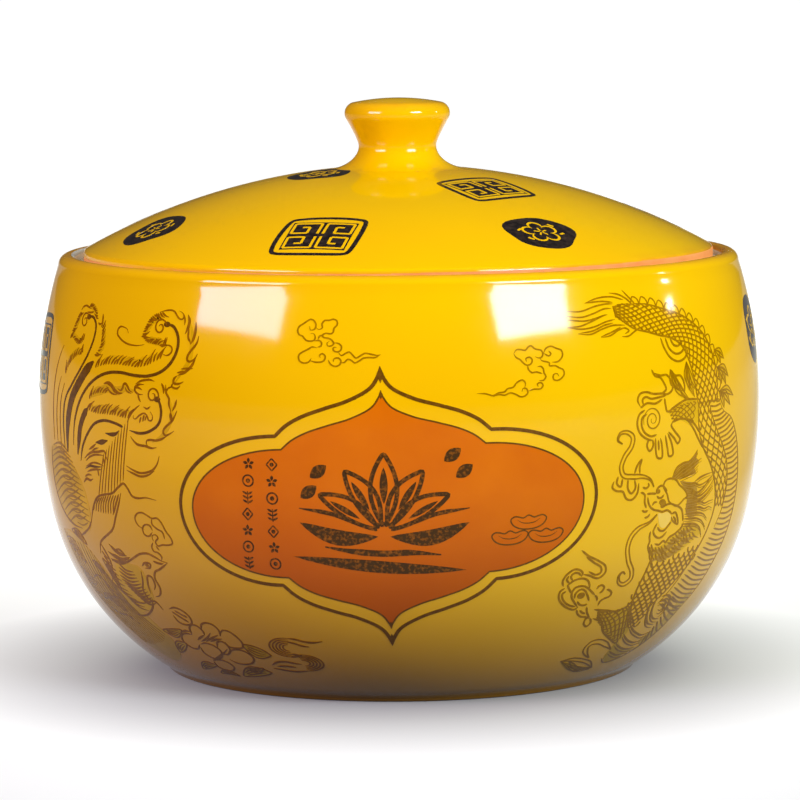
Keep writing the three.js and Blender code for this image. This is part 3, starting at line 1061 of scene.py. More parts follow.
def square_seal(dark, light, centre, turn, wide, high):
    """A framed stamp with a key fret in each quarter, left in the colour of the glaze."""
    x = wide / 2
    y = high / 2
    border = [(-x, -y + 1), (-x + 1, y - 1), (-x + 2.5, y), (x - 1, y)]
    border += [(x, y - 2), (x - 0.6, -y + 1), (x - 2, -y), (-x + 2, -y - 0.2)]
    dark.stroke(placed(border, centre, turn), SEAL_LINE, closed=True)
    x -= SEAL_INSET
    y -= SEAL_INSET
    dark.fill(placed(((-x, -y), (x, -y), (x, y), (-x, y)), centre, turn))
    cell = np.array([x / 2, y / 2])
    for corner in ((1, 1), (-1, 1), (-1, -1), (1, -1)):
        key = (np.asarray(KEY_FRET) * (cell - 1.0) + cell) * corner
        light.polyline(placed(key, centre, turn), FRET_LINE)


def round_seal(dark, light, centre, turn, wide, high):
    """A peach-shaped stamp with a plum blossom left in the colour of the glaze."""
    outline = ellipse((0, 0), wide / 2, high / 2, count=36)[:-1]
    angles = np.linspace(0, tau, 36, endpoint=False)
    outline *= (1 + 0.05 * np.sin(3 * angles + 0.6) + 0.03 * np.cos(5 * angles))[:, None]
    dark.fill(placed(outline, centre, turn))
    size = high / 22
    for i in range(5):
        angle = tau * i / 5 + 0.3
        way = np.array([cos(angle), sin(angle)])
        petal = ellipse(way * 4.2, 2.5, 2.5, angle - 2.2, angle + 2.2, 10)
        light.stroke(placed(petal, centre, turn, size), PETAL_LINE)
        light.polyline(placed([way * 0.6, way * 2.6], centre, turn, size), 0.6)
    for spot in ((-8.4, 2), (8.6, -1.5), (7.5, 3.4), (-7.5, -3.2)):
        fleck = [spot, (spot[0] * 0.78, spot[1] * 1.5)]
        light.polyline(placed(fleck, centre, turn, size), PETAL_LINE)


# Each seal has its place and its turn in degrees
LID_SQUARES = ((-26.8, -88.6, -16.5), (30.8, -42.8, 41.7), (58, 38, 120), (-52, 60, -140), (12, 92, 175))
LID_ROUNDS = (
    (48.8, -79, 31.7), (-85.4, -39.9, -65), (-28, -15, -60), (-4, 50, 180), (92, 10, 95), (-92, 22, -100),
)
WALL_SQUARES = (
    (-179, 18.5, 3), (225, -12, -4), (-262, -28, 8), (330, 22, -7), (-345, 18, 5), (398, -40, 10),
)
WALL_ROUNDS = (
    (178, 26, -5), (-226, 12, 10), (268, 28, 4), (286, -48, -8), (-300, 30, -6), (-395, -10, 8),
    (350, -30, 3),
)


# The seals of each body, with their width and height
SEAL_SETS = (
    ("lid", on_lid, LID_SQUARES, LID_ROUNDS, 27.5, 22.5),
    ("jar", on_wall, WALL_SQUARES, WALL_ROUNDS, 24, 26),
)
ROUND_SHARE = (0.96, 0.95)


def seals():
    for body, surface, squares, rounds, wide, high in SEAL_SETS:
        dark = Drawing(surface)
        light = Drawing(surface)
        for x, y, turn in squares:
            square_seal(dark, light, (x, y), radians(turn), wide, high)
        for x, y, turn in rounds:
            round_seal(dark, light, (x, y), radians(turn), wide * ROUND_SHARE[0], high * ROUND_SHARE[1])
        dark.piece(body + "_seals", BLACK, body)
        light.piece(body + "_seal_frets", YELLOW, body)


medallion()
ingots()
sign_columns()
lotus()
clouds()
seals()


# Helpers for feathers, scales and plates

VANE_HAIR = 0.75
VANE_WASH = 2.4
VANE_REACH = 1.35
VANE_LEAN = 1.4
WASH_STEP = 2.0
LOCK_LINE = 0.6
LOCK_HAIRS = 3
SCALE_DEPTH = 0.9
SCALE_BULGE = 0.22


def vane(drawing, wash, curve, count, reach, lean):
    """A soft band of fine hairs that lean from a curve and bend back along it."""
    spots = evenly(curve, count + 1)
    middles = []
    for i in range(count):
        along = spots[i + 1] - spots[i]
        heading = atan2(along[1], along[0])
        size = VANE_REACH * reach * (0.9 + 0.2 * sin(2.4 * i))
        turn = VANE_LEAN * lean * (1 + 0.2 * sin(1.7 * i))
        middle = spots[i] + 0.55 * size * np.array([cos(heading + turn), sin(heading + turn)])
        tip = middle + 0.5 * size * np.array([cos(heading + 0.6 * turn), sin(heading + 0.6 * turn)])
        drawing.stroke([spots[i], middle, tip], VANE_HAIR, (0.15, 0.6))
        middles.append(middle)
    wash.stroke(middles, VANE_WASH, (0.25, 0.25))


def lock(drawing, wash, base, tip, width, bend):
    """A pointed tuft or leaf: a light wash, its two edges and a few hairs along it."""
    rim = leaf(base, tip, width, bend)
    wash.fill(rim)
    drawing.stroke(rim, LOCK_LINE, closed=True)
    for k in range(LOCK_HAIRS):
        share = (k + 1) / (LOCK_HAIRS + 1)
        hair = [between(rim[j], rim[24 - j], share) for j in (2, 6, 10)]
        drawing.stroke(hair, LOCK_LINE, (0.1, 0.5))


def rows_between(drawing, first, second, rows, sag, width, ends=(0.1, 0.1)):
    """Curved lines from one edge to the other, as belly plates or straight feathers."""
    for a, b in zip(evenly(first, rows), evenly(second, rows)):
        across = b - a
        middle = between(a, b, 0.5) + sag * np.array([across[1], -across[0]])
        drawing.stroke([a, middle, b], width, ends)


def scales(drawing, first, second, rows, across, width):
    """Rows of round scales between two edges, each row set half a scale over from the last."""
    left = evenly(first, rows + 1)
    right = evenly(second, rows + 1)
    for row in range(rows):
        shift = 0.5 * (row % 2)
        for k in range(across + row % 2):
            start = max(0.0, (k - shift) / across)
            end = min(1.0, (k + 1 - shift) / across)
            a = between(left[row], right[row], start)
            b = between(left[row], right[row], end)
            low = between(left[row + 1], right[row + 1], (start + end) / 2)
            middle = between(a, b, 0.5)
            tip = between(middle, low, SCALE_DEPTH)
            near = between(a, tip, 0.55) + SCALE_BULGE * (a - middle)
            far = between(b, tip, 0.55) + SCALE_BULGE * (b - middle)
            drawing.stroke([a, near, tip, far, b], width, BLUNT)


def washed(outlines):
    """A drawing of plain washes."""
    drawing = Drawing(on_wall, FILL_LIFT)
    for outline in outlines:
        drawing.fill(smooth(outline, True, WASH_STEP))
    return drawing


# Phoenix on the left

PLUME_LINES = (
    ((-146, -12), (-146, 0), (-144, 6), (-139, 11), (-133, 17), (-128, 23), (-125.3, 29), (-125.5, 33),
     (-128, 35.3), (-131, 35.5)),
    ((-138, -10), (-136.5, -2), (-133, 5), (-128, 10.5), (-122, 14.5), (-115, 17), (-108, 17.7),
     (-100, 17.2), (-93, 17.5), (-87, 19.5), (-83, 23), (-81, 27.5), (-81.3, 31.5), (-83.5, 34.5),
     (-86.5, 35.5)),
    ((-133, -15), (-131, -10), (-127, -5), (-122, -1), (-116, 0.6), (-110, 0.2), (-105.5, -0.8)),
    ((-102, -1.7), (-97, -2.3), (-92, -1.2), (-88, 1.5), (-86.8, 5), (-87.5, 8.5), (-88.6, 10)),
)
PLUME_WIDTHS = (0.95, 1.1, 1.0, 1.0)
# Each eye has its place, the centre of its curl and the curl's start
PLUME_EYES = (
    (-131.2, 35.3, -133.8, 33.8, 0.2), (-86.8, 35.3, -89.8, 34.2, 0.2), (-88.8, 9.8, -90.9, 10.9, -0.6),
)
DARK_PLUMES = (
    (((-143.5, -13), (-142.8, -6), (-141, 1), (-138, 7), (-133.5, 12), (-129, 16.5), (-124, 20.3)), 3.7),
    (((-135, -13), (-133.5, -8), (-132, -3), (-129.5, 1), (-126.5, 4)), 2.6),
)
SMUDGES = (
    (((-121.6, -7.5), (-117.7, -7), (-114.4, -6.2)), 1.9),
    (((-115.4, -3.7), (-112.4, -3.9), (-109.6, -3.5), (-107.6, -2.3)), 1.5),
    (((-130, -17.4), (-126.6, -16.2), (-122.8, -16.1), (-119, -15.8)), 0.9),
)
# Each vane has its curve, how many hairs, their length and their lean
VANES = (
    (((-98.3, 30.5), (-97.5, 33), (-96.3, 35.6), (-94.6, 37.6), (-92.4, 38.8), (-89, 39.6)), 15, 2.6, -0.7),
    (((-97.8, 30.4), (-95.8, 28.9), (-92.5, 28.3), (-89.4, 28), (-87.6, 27.2)), 12, 2.4, 0.6),
    (((-122.5, 18.2), (-118, 19.4), (-112, 20.2), (-105, 20.2), (-99, 20), (-94.5, 20.9), (-90.5, 22.6),
      (-87, 24.2)), 23, 3.6, 0.6),
    (((-125.4, 7.2), (-122.6, 9), (-118.6, 9.9), (-114.4, 10.1)), 8, 2.8, 0.5),
    (((-127, 3.4), (-121, 2.6), (-115, 2.8), (-109.6, 2.8), (-104.4, 2.3), (-101.5, 2.6)), 18, 3.6, 0.7),
    (((-143, 29.6), (-141.4, 32), (-140.2, 34.6), (-138.2, 37)), 9, 2.4, -0.6),
    (((-143.8, 26.8), (-141.6, 27.2), (-139.4, 26.2), (-136.8, 25.2), (-133.6, 26.2),
      (-132, 27.8)), 11, 2.4, 0.6),
    (((-144.7, 14.4), (-142.8, 17.2), (-139.7, 19.6), (-136.4, 21.4), (-133.4, 21.9),
      (-131.4, 23.6)), 13, 2.6, 0.6),
    (((-124.6, 35), (-125.6, 36.9), (-127.2, 38.6), (-129.4, 39.9), (-131.9, 40.3)), 9, 2.0, 0.6),
    (((-123.8, 22.8), (-121.9, 24.2), (-120.5, 26.6), (-120.6, 29.6), (-121.4, 33.2)), 10, 2.4, -0.6),
)
WASH_BANDS = (
    (((-125, 7.8), (-120, 10), (-114, 11.9), (-109, 11.3), (-105, 12.3), (-100, 12)), 3.0),
    (((-77.6, 38), (-75.4, 33), (-75, 28), (-75.4, 24), (-78, 20), (-81, 16)), 1.6),
    (((-83.6, 11), (-82, 6), (-83, 2), (-86, -2), (-91, -5)), 1.4),
)
# Each flame of a plume's outer edge has its line and its width
FLAMES = (
    (((-91, 39.3), (-88, 40), (-85.5, 40.2), (-84, 39.7), (-83, 38.7), (-81.8, 37.6), (-80.5, 37.3),
      (-79.8, 37.8), (-79.9, 38.9), (-80.8, 39.7), (-82, 40.1)), 0.6),
    (((-79.7, 39), (-79, 37), (-79, 35.4)), 0.6),
    (((-77.9, 39), (-77, 36.8), (-77.4, 34.4), (-78.3, 32.5)), 1.1),
    (((-76.8, 34.3), (-76.9, 32.2), (-76.6, 30.8), (-75.9, 30), (-75.6, 29)), 0.8),
    (((-75.6, 29), (-74.7, 30.6), (-74.1, 33), (-74, 35), (-74.2, 36.6)), 1.0),
    (((-72.5, 32), (-72.8, 30), (-74, 28.2), (-75.5, 26.5), (-76.4, 25), (-76.4, 23.8), (-75.5, 23.2),
      (-74.2, 23.7), (-73, 24.7), (-72.4, 26)), 0.85),
    (((-73, 24.6), (-74.2, 22.2), (-76, 20.4), (-77.8, 19.2), (-80, 18.4)), 1.0),
    (((-78.8, 20.6), (-76.4, 20.9), (-73.8, 21)), 0.7),
    (((-80.4, 19.2), (-78.6, 19.6), (-76.8, 19.9)), 0.8),
    (((-80.2, 18.3), (-81.5, 17.3), (-81.8, 16), (-81, 15.5), (-79, 15.7), (-77.5, 16.4)), 0.85),
    (((-81.8, 15.8), (-82.5, 14.6), (-81.5, 14.1), (-80, 14), (-78.8, 15)), 0.75),
    (((-82.4, 14.4), (-84, 13.8), (-84.6, 12.6)), 0.6),
    (((-86.6, 28), (-84.8, 28.3), (-83.5, 27.5), (-83.4, 26.3), (-84.3, 25.3), (-85.6, 24.8),
      (-87.5, 25.2)), 0.6),
    (((-87.8, 27.4), (-87.2, 29.2), (-86.6, 31)), 0.6),
    (((-86.9, 27.8), (-86.4, 29.4), (-86, 31)), 0.5),
    (((-90.3, 15.8), (-92.4, 16.2), (-94.4, 16), (-97.2, 15.4), (-99.2, 14.3)), 0.8),
    (((-95.1, 14.4), (-97.6, 14.3), (-99.5, 13.2), (-99.4, 12), (-97.7, 11), (-95.6, 11)), 0.8),
    (((-99.9, 13), (-97.9, 13.2), (-96, 12.5)), 0.7),
    (((-98, 11.2), (-97.3, 9.4), (-96.5, 8.4)), 0.7),
    (((-116.6, 13.2), (-114.4, 13.7), (-111.8, 12.8), (-110.2, 11.4), (-108, 10.6), (-105.9, 10.8)), 1.4),
    (((-114.8, 12.4), (-113.2, 11), (-111.4, 10.2), (-108.8, 10)), 0.7),
    (((-108.6, 12.2), (-106.8, 11.6), (-105.8, 12.6), (-105.4, 13.8), (-104.4, 14.1), (-103.3, 13.2),
      (-102.1, 11.9), (-100.6, 11.3)), 0.9),
    (((-104.7, 13), (-103.4, 11.5), (-101.2, 11)), 0.6),
    (((-87, 15.4), (-86, 13.6), (-85.9, 11.9)), 0.9),
    (((-85.1, 15), (-84.7, 12.2), (-83.4, 10.3), (-83.4, 8.6), (-82.7, 6.6), (-82.3, 5)), 0.8),
    (((-80.1, 10.2), (-80.7, 8.2), (-82, 6.1)), 0.75),
    (((-82.8, 5.6), (-82.4, 4), (-82.2, 2.6)), 1.3),
    (((-79.9, 6.5), (-81, 4.3), (-82.2, 2.7), (-84.4, 1), (-85.6, -0.2), (-85.9, -1.4), (-84.9, -2.2),
      (-83.2, -1.6), (-81.2, -0.5)), 0.85),
    (((-84.2, -2.3), (-86.6, -3.5), (-89.2, -4.2), (-92, -4.2), (-93.6, -4.6), (-93.9, -5.6),
      (-93.2, -6.4)), 0.85),
    (((-89.2, -6.6), (-91.4, -7), (-94.4, -6.5), (-97, -6.4), (-98.8, -6), (-100.6, -4.7),
      (-101.6, -3.7)), 0.9),
    (((-97, 7.3), (-98.8, 6.1), (-100.6, 4.6), (-101.8, 3.2), (-103.2, 1)), 0.6),
    (((-99.9, 3.6), (-100.1, 2.8), (-99.2, 2.4), (-97, 3.8), (-94.8, 4.7), (-93.4, 4), (-92.6, 2.5),
      (-91.2, 2.4), (-90.7, 3.8), (-91.8, 5.4)), 0.6),
    (((-94.7, 4.2), (-95.4, 1.8)), 0.7),
    (((-96.2, 3.4), (-97, 1.2)), 0.7),
    (((-93.6, 4), (-94.4, 2.2)), 0.6),
    (((-95.1, 6.9), (-93.4, 6.3), (-91.8, 7.2)), 0.6),
    (((-138.2, 37.2), (-136.6, 38.6), (-134.4, 39), (-132.6, 38.5), (-130.6, 38.2)), 0.7),
    (((-133.1, 36.9), (-130.6, 36.8), (-128.2, 37.3)), 0.7),
    (((-121.9, 36.9), (-121.4, 34.6), (-121.6, 32.3)), 0.9),
    (((-124.1, 33.8), (-122.9, 33.2), (-121.8, 33.8)), 0.7),
    (((-119, 30.4), (-120, 28.8), (-120.4, 27)), 0.6),
    (((-105.3, 31.3), (-106.3, 32.6), (-108.1, 33.2), (-110, 33.3), (-111.3, 32.3), (-111.3, 30.7),
      (-109.7, 29.4), (-107.2, 28.2), (-104, 27.5), (-100, 27.4), (-96.5, 27.9)), 0.65),
    (((-104.6, -14.1), (-101.5, -15.2), (-98.1, -16), (-94.6, -15.6), (-91.5, -14.5), (-89.2, -12.2),
      (-88.1, -9.5)), 0.8),
    (((-104.6, -15.6), (-101.5, -16.4), (-97.7, -17.2), (-93.8, -16.4), (-90.8, -14.8)), 0.8),
    (((-130, -13.8), (-127.3, -12.2), (-124.6, -11.2), (-120.8, -10.7), (-116.5, -10.2), (-115.8, -11.8),
      (-114.8, -13.7)), 0.9),
    (((-129.2, -14.6), (-126.2, -12.9), (-122.7, -11.9), (-116.9, -11.6)), 0.7),
    (((-126.4, -10.4), (-123.8, -9.2), (-121.5, -7.9)), 0.8),
    (((-125, -11), (-122.4, -9.8), (-120, -9.2)), 0.6),
    (((-117.5, -12.6), (-117.1, -14), (-116.9, -15.2)), 0.8),
    (((-129.4, -16.6), (-126.2, -15.4), (-124.2, -14.8), (-120.8, -14.8), (-117.7, -15.4)), 0.7),
    (((-128.8, -18.4), (-125.8, -17.5), (-122.7, -17), (-119.2, -16.8)), 0.8),
    (((-121.5, -17), (-121.4, -18), (-121.2, -19.2)), 0.8),
    (((-132.3, -22.5), (-130, -21), (-127.3, -21.3), (-125.4, -20.6)), 0.9),
    (((-131, -20.4), (-128.6, -19.4), (-126, -19.4)), 0.7),
    (((-157, -10), (-157, 2), (-155.5, 12), (-152, 20), (-149, 24)), 0.6),
    (((-153, -10), (-153, 0), (-151.5, 8), (-149, 13)), 0.6),
    (((-149.5, -12), (-149.5, -2), (-148.5, 5), (-145.5, 11)), 0.6),
)
BIRD_LINES = (
    ((-131, -36), (-128, -31), (-124, -27), (-119, -25.5), (-114, -24.5), (-110, -22), (-107, -20.5),
     (-105, -22), (-103, -24.5), (-100, -25), (-96, -24.5), (-91, -25)),
    ((-109, -24), (-111, -28), (-114, -33), (-117, -37.5), (-121, -40), (-125, -42), (-128, -44),
     (-130, -48)),
    ((-110.4, -24.6), (-112.8, -28.4), (-115.4, -32.4)),
    ((-131, -36), (-134, -39), (-138, -41), (-143, -43)),
    ((-161, -13), (-163, -20), (-163, -27), (-160, -33), (-155, -37), (-148, -39.5), (-140, -40)),
    ((-128, -44), (-126, -47), (-124.5, -50.5), (-126, -55), (-129, -59)),
    ((-123, -49.8), (-117, -50.5), (-112, -49), (-108, -47.2), (-104, -45.4), (-100, -44.8),
     (-96, -45.8), (-93, -47), (-90.4, -47.4)),
    ((-90.4, -47.4), (-93, -49), (-96, -50.6), (-98, -51.4), (-99.4, -54), (-98.4, -58), (-100, -61),
     (-103, -62)),
    ((-97.6, -47.4), (-95, -48), (-92.5, -47.9)),
    ((-119.6, -46), (-116, -45), (-113.5, -46.6), (-117, -47.4)),
    ((-121, -47.2), (-116, -48.4), (-110.5, -47.4)),
    ((-104.5, -50), (-102.4, -48.5), (-99.6, -48.8), (-100.4, -50.2), (-103, -50.6)),
    ((-105, -61), (-104.6, -57), (-103, -53.6), (-101, -54), (-100.6, -57), (-102, -59)),
    ((-106, -52), (-107, -56), (-109, -60), (-108, -63.5), (-104, -64.5), (-102, -67.5)),
    ((-124, -72), (-118, -72), (-113, -70.5), (-108, -67), (-105.4, -63)),
    ((-133, -55), (-128, -60), (-121, -64.5), (-114, -66), (-109, -65)),
    ((-152, -66), (-145, -68), (-138, -66.5), (-131, -66), (-124, -68)),
    ((-137, -61), (-131, -64), (-125, -67.5), (-120, -72)),
    ((-147, -60), (-141, -58), (-136, -60), (-133, -66), (-130, -72)),
    ((-146, -72), (-139, -74), (-132, -74), (-126, -77)),
)
SMALL_CLOUD = (
    ((-99, -36), (-102, -34.6), (-103, -32.4), (-101.6, -30.6), (-99, -30), (-96.4, -30.8),
     (-94.4, -31.6), (-91.6, -31.4), (-89.8, -33), (-88.4, -35.6), (-86.4, -38), (-86, -39.8),
     (-88, -40.6), (-91, -40.8), (-93.4, -41.4), (-94.2, -40), (-92.6, -38.4), (-93.6, -37.4),
     (-95.4, -38), (-95.2, -39.8)),
    ((-95, -36.6), (-97, -38.2), (-99.2, -37.8), (-99.8, -35.8), (-98.2, -34.2), (-95.8, -34.4),
     (-94.8, -36)),
    ((-94.4, -31.8), (-94.6, -33.6), (-92.4, -35.2), (-90, -36.2), (-89.4, -38.6)),
    ((-95.6, -40.4), (-96.6, -42), (-96, -43.6), (-94, -44), (-92.6, -45.4), (-93, -46.6)),
    ((-94.4, -41.6), (-93, -43)),
)
# Each leaf has its base, tip, width and bend
BIRD_LEAVES = (
    ((-162, -46), (-148, -54), 5, 0.1), ((-152, -42), (-140, -46), 3.2, 0.1),
    ((-158, -57), (-146, -62), 4, -0.1), ((-130, -50), (-125, -62), 3.2, 0.1),
    ((-144, -66), (-131, -72), 3.5, 0.1), ((-140, -52), (-132, -58), 2.6, 0.1),
)
PEONY_LINES = (
    ((-92.5, -77.5), (-92, -74.6), (-89.6, -72.6), (-86.8, -73), (-85.2, -75), (-85.4, -77)),
    ((-85.4, -74.2), (-84, -71.8), (-81, -70.8), (-78, -71.6), (-76.4, -74), (-77, -76.6)),
    ((-76.4, -75.2), (-74.4, -73.6), (-71.4, -74), (-68.8, -76.4), (-67.6, -79.2), (-68.6, -81.4),
     (-72, -82), (-75.4, -81.6), (-76.2, -79.4)),
    ((-92.6, -77.6), (-96, -77.4), (-99.6, -79), (-101, -82), (-98.6, -84.8), (-94.6, -85), (-92, -82.6)),
    ((-92.4, -84), (-92.6, -87), (-90, -89.2), (-86, -89.4), (-82.6, -87.2), (-81.6, -84.4),
     (-83.6, -82.2), (-87.6, -81.2), (-91, -82.2)),
    ((-82, -82.6), (-80.6, -80), (-77.6, -79.4), (-75.8, -81.4), (-76.2, -84), (-78.6, -86),
     (-81.2, -86.4)),
    ((-79, -86.6), (-75.4, -83.6), (-71, -82.8), (-67.4, -84.2), (-66, -87), (-68, -89.6), (-72.6, -91),
     (-77, -90.6), (-79.6, -89)),
    ((-90.6, -91), (-86.4, -90), (-82.2, -91), (-80.6, -93.6), (-83, -96), (-87.6, -96.6), (-91, -94.6),
     (-90.8, -91.6)),
    ((-98.2, -66.6), (-95, -65.6), (-91.4, -66.4), (-88.6, -69), (-89, -71.8), (-92.4, -73),
     (-96, -72.2), (-97.6, -69.4)),
    ((-97.2, -67.6), (-94, -69.6), (-90.4, -71.6)),
    ((-95.4, -67), (-92.4, -68.4), (-90, -69.4)),
)
PEONY_STAMENS = (
    ((-91, -80), (-88, -78.2), (-85.6, -77)), ((-89.4, -80.6), (-85, -78.4), (-81.6, -75.6)),
    ((-86.4, -80.2), (-82, -78), (-78, -76.2)), ((-84, -80), (-80.4, -78.6), (-77, -78)),
    ((-90, -90.2), (-86, -88.6), (-81, -85.8), (-77, -83)), ((-98, -77), (-95, -76), (-92.6, -76.2)),
)
PEONY_LEAVES = (
    ((-110, -77.6), (-97.5, -76), 4.0, -0.12), ((-110, -89), (-100, -83), 4.6, 0.1),
    ((-68, -80), (-56.5, -84.5), 6, -0.1), ((-79, -99), (-61, -95), 6, 0.1),
    ((-104, -98), (-91, -94), 4, 0.1), ((-74, -93.5), (-64, -92.5), 3.0, -0.15),
    ((-93, -99), (-82, -99.5), 3.0, 0.15),
)
WAVE_LINES = (
    ((-46, -75), (-42.6, -75.4), (-39, -76.3), (-35, -76.5), (-31.6, -75.8)),
    ((-47, -76.6), (-43.5, -77.4), (-40.6, -78.4), (-37.6, -78.8)),
    ((-47.4, -84.6), (-44.4, -84), (-41.6, -83)),
    ((-46.6, -83), (-44, -83.2), (-42, -84)),
    ((-58.4, -90), (-55, -88), (-51, -87.4), (-47, -88), (-43.6, -88.4)),
    ((-58.4, -91.8), (-53, -92.6), (-47.6, -93), (-42, -92.2)),
    ((-56, -90.4), (-51.6, -90), (-47, -90.4)),
)
PHOENIX_WASHES = (
    ((-163, -44), (-152, -43), (-143, -46), (-135, -51), (-128, -58), (-121, -66), (-112, -76),
     (-108, -83), (-113, -92), (-124, -96), (-138, -88), (-150, -74), (-160, -58)),
    ((-162, -13), (-150, -13), (-142, -16), (-134, -23), (-131, -34), (-134, -40), (-145, -41),
     (-156, -37), (-163, -27)),
    ((-121, -51), (-113, -50), (-106, -51), (-104, -58), (-105, -64), (-112, -69), (-121, -70),
     (-124, -62)),
)


# Rows of feathers: the edges they run between, how many, their sag, width and ends
FINE_FEATHERS = (
    (((-102.6, 2), (-109, -4), (-117, -11)),
     ((-107, -19.5), (-114, -24), (-123, -27)), 9, 0.0, 0.4, (0.1, 0.1)),
    (((-112, -25), (-118, -25.8), (-124, -27.4)),
     ((-115, -32), (-121, -32.4), (-128, -32)), 9, 0.1, 0.5, (0.1, 0.1)),
    (((-119, -50.6), (-121, -56), (-117, -61), (-112, -65)),
     ((-111, -53), (-109, -57), (-106, -61), (-104.6, -65)), 12, 0.12, 0.9, (0.2, 0.4)),
    (((-128.6, -47), (-127, -53), (-127, -59), (-121, -66)),
     ((-124.6, -50), (-121.6, -57), (-119, -63), (-112, -69)), 12, 0.1, 0.7, (0.2, 0.4)),
)
WING_ROOTS = ((-143, -13), (-137, -20), (-133, -28), (-132, -37))
WING_TIPS = ((-159, -12), (-163, -19), (-162, -28), (-152, -39))
FLOW_TOP = ((-163, -43), (-152, -46), (-143, -46), (-136, -50), (-131, -56))
FLOW_END = ((-137, -88), (-130, -88), (-123, -86), (-116, -84), (-111, -80))
CREST = (((-112, -47), (-122, -43.6)), ((-111, -48), (-124, -46.6)), ((-113, -49), (-123.4, -49.2)))
BIRD_EYE = (-101.6, -49.4)


def phoenix():
    wash = washed(PHOENIX_WASHES)
    bold = Drawing(on_wall)
    for points, width in zip(PLUME_LINES, PLUME_WIDTHS):
        bold.stroke(points, width, (0.15, 0.02))
    bold.own_strokes(DARK_PLUMES, (0.3, 0.1))
    fine = Drawing(on_wall)
    for u, s, curl_u, curl_s, start in PLUME_EYES:
        bold.dot((u, s), 1.5, 1.0, 14)
        fine.stroke(spiral((curl_u, curl_s), 3.0, 0.6, start, 1.4), 0.6, (0.1, 0.1))
    bold.own_strokes(SMUDGES, (0.45, 0.4))
    for curve, count, reach, lean in VANES:
        vane(fine, wash, curve, count, reach, lean)
    wash.own_strokes(WASH_BANDS, TAPER)
    fine.own_strokes(FLAMES, (0.25, 0.3))
    for row in FINE_FEATHERS:
        rows_between(fine, *row)
    fine.strokes(BIRD_LINES, 0.8, (0.15, 0.2))
    fine.strokes(SMALL_CLOUD, 0.6, (0.1, 0.1))
    soft = Drawing(on_wall)
    rows_between(soft, WING_ROOTS, WING_TIPS, 13, 0.12, 1.0, (0.4, 0.5))
    near = between(WING_ROOTS, WING_TIPS, 0.1)
    far = between(WING_ROOTS, WING_TIPS, 0.6)
    rows_between(soft, near, far, 12, -0.1, 0.6, (0.2, 0.6))
    rows_between(soft, FLOW_TOP, FLOW_END, 14, 0.08, 1.1, (0.3, 0.5))
    for place in BIRD_LEAVES:
        lock(fine, wash, *place)
    for base, tip in CREST:
        fine.fill(leaf(base, tip, 1.5, 0.1), LINE_LIFT)
    fine.dot(BIRD_EYE, 0.9, 0.6, 10)
    wash.piece("phoenix_wash", WASH, "jar")
    soft.piece("phoenix_wing", GOLD, "jar")
    bold.piece("phoenix_plumes", BROWN, "jar")
    fine.piece("phoenix", RUST, "jar")


def peonies():
    drawing = Drawing(on_wall)
    wash = Drawing(on_wall, FILL_LIFT)
    drawing.strokes(PEONY_LINES, 0.75, (0.1, 0.1))
    drawing.strokes(PEONY_STAMENS, 0.9, (0.3, 0.4))
    for place in PEONY_LEAVES:
        lock(drawing, wash, *place)
    wash.piece("peony_wash", WASH, "jar")
    drawing.piece("peonies", RUST, "jar")


# Each swell has its centre, its reach, its rise with the step inwards, and its angles in degrees
SWELLS = (((-47, -79.8), 8.2, 4.8, 0.8, 80, 275), ((-42.6, -87.6), 9.0, 4.6, 0.75, 100, -85))
SWELL_COUNT = 5
SWELL_STEP = 1.5


def waves():
    drawing = Drawing(on_wall)
    drawing.strokes(WAVE_LINES, 0.9, (0.2, 0.25))
    for k in range(SWELL_COUNT):
        for centre, reach, rise, step, start, end in SWELLS:
            wide = reach - SWELL_STEP * k
            drawing.stroke(ellipse(centre, wide, rise - step * k, radians(start), radians(end), 12), 0.6)
    drawing.piece("waves", RUST, "jar")


phoenix()
peonies()
waves()


# Dragon on the right

def ribbon(drawing, points, width, line):
    """Both edges of a band that comes to a point at each end."""
    path = smooth(points)
    along = np.gradient(path, axis=0)
    across = np.stack([-along[:, 1], along[:, 0]], -1)
    across /= np.maximum(np.linalg.norm(across, axis=1), TINY)[:, None]
    share = np.linspace(0, 1, len(path))
    half = np.minimum(1, np.minimum(4 * share, 4 * (1 - share)))[:, None] * width / 2
    drawing.line(path + across * half, line, BLUNT)
    drawing.line(path - across * half, line, BLUNT)


TAIL_HAIRS = (
    ((79, 45.3), (83, 44.6), (86.5, 42.8), (88.5, 41)),
    ((85, 46), (87.5, 43.5), (90, 41)),
    ((68, 42.3), (74, 43.8), (80, 43.9), (85, 42.6)),
    ((68, 42.3), (75, 42.6), (80, 42)),
    ((60, 39.8), (66, 39.6), (72, 41), (77, 41.6), (80, 41.5)),
    ((60, 38.2), (66, 37.6), (71, 38.6), (76, 40), (79, 40)),
    ((60, 37), (67, 36.3), (72, 37), (76, 38)),
    ((60, 34.5), (65, 34.6), (70, 36), (75, 37.7), (77, 38)),
    ((60, 34.3), (66, 33.6), (71, 34.2), (76, 35.6), (80, 36.2)),
    ((64, 32), (69, 31.7), (74, 33.2), (79, 34.2), (84, 34)),
    ((64, 32.2), (70, 32.8), (75, 34.4), (79, 35)),
    ((73, 30.4), (77, 30.8), (81, 32.5), (84, 33), (85.5, 32), (83.5, 31)),
    ((73, 30.6), (78, 32), (82, 33.4)),
    ((82, 30.2), (85, 30.2), (88, 31.6), (90, 32.5)),
)
BACK = (
    (79.6, 40.4), (83, 41.2), (88, 41), (95, 40.6), (103, 38.6), (112, 36), (120, 32), (126, 27),
    (130, 20), (131.5, 12), (131, 4),
)
UNDERSIDE = (
    (80.2, 37.2), (83, 35.4), (88, 32.5), (94, 31), (100, 29.4), (106, 28), (111, 25), (114, 20),
    (116, 14), (117, 9), (118, 4),
)
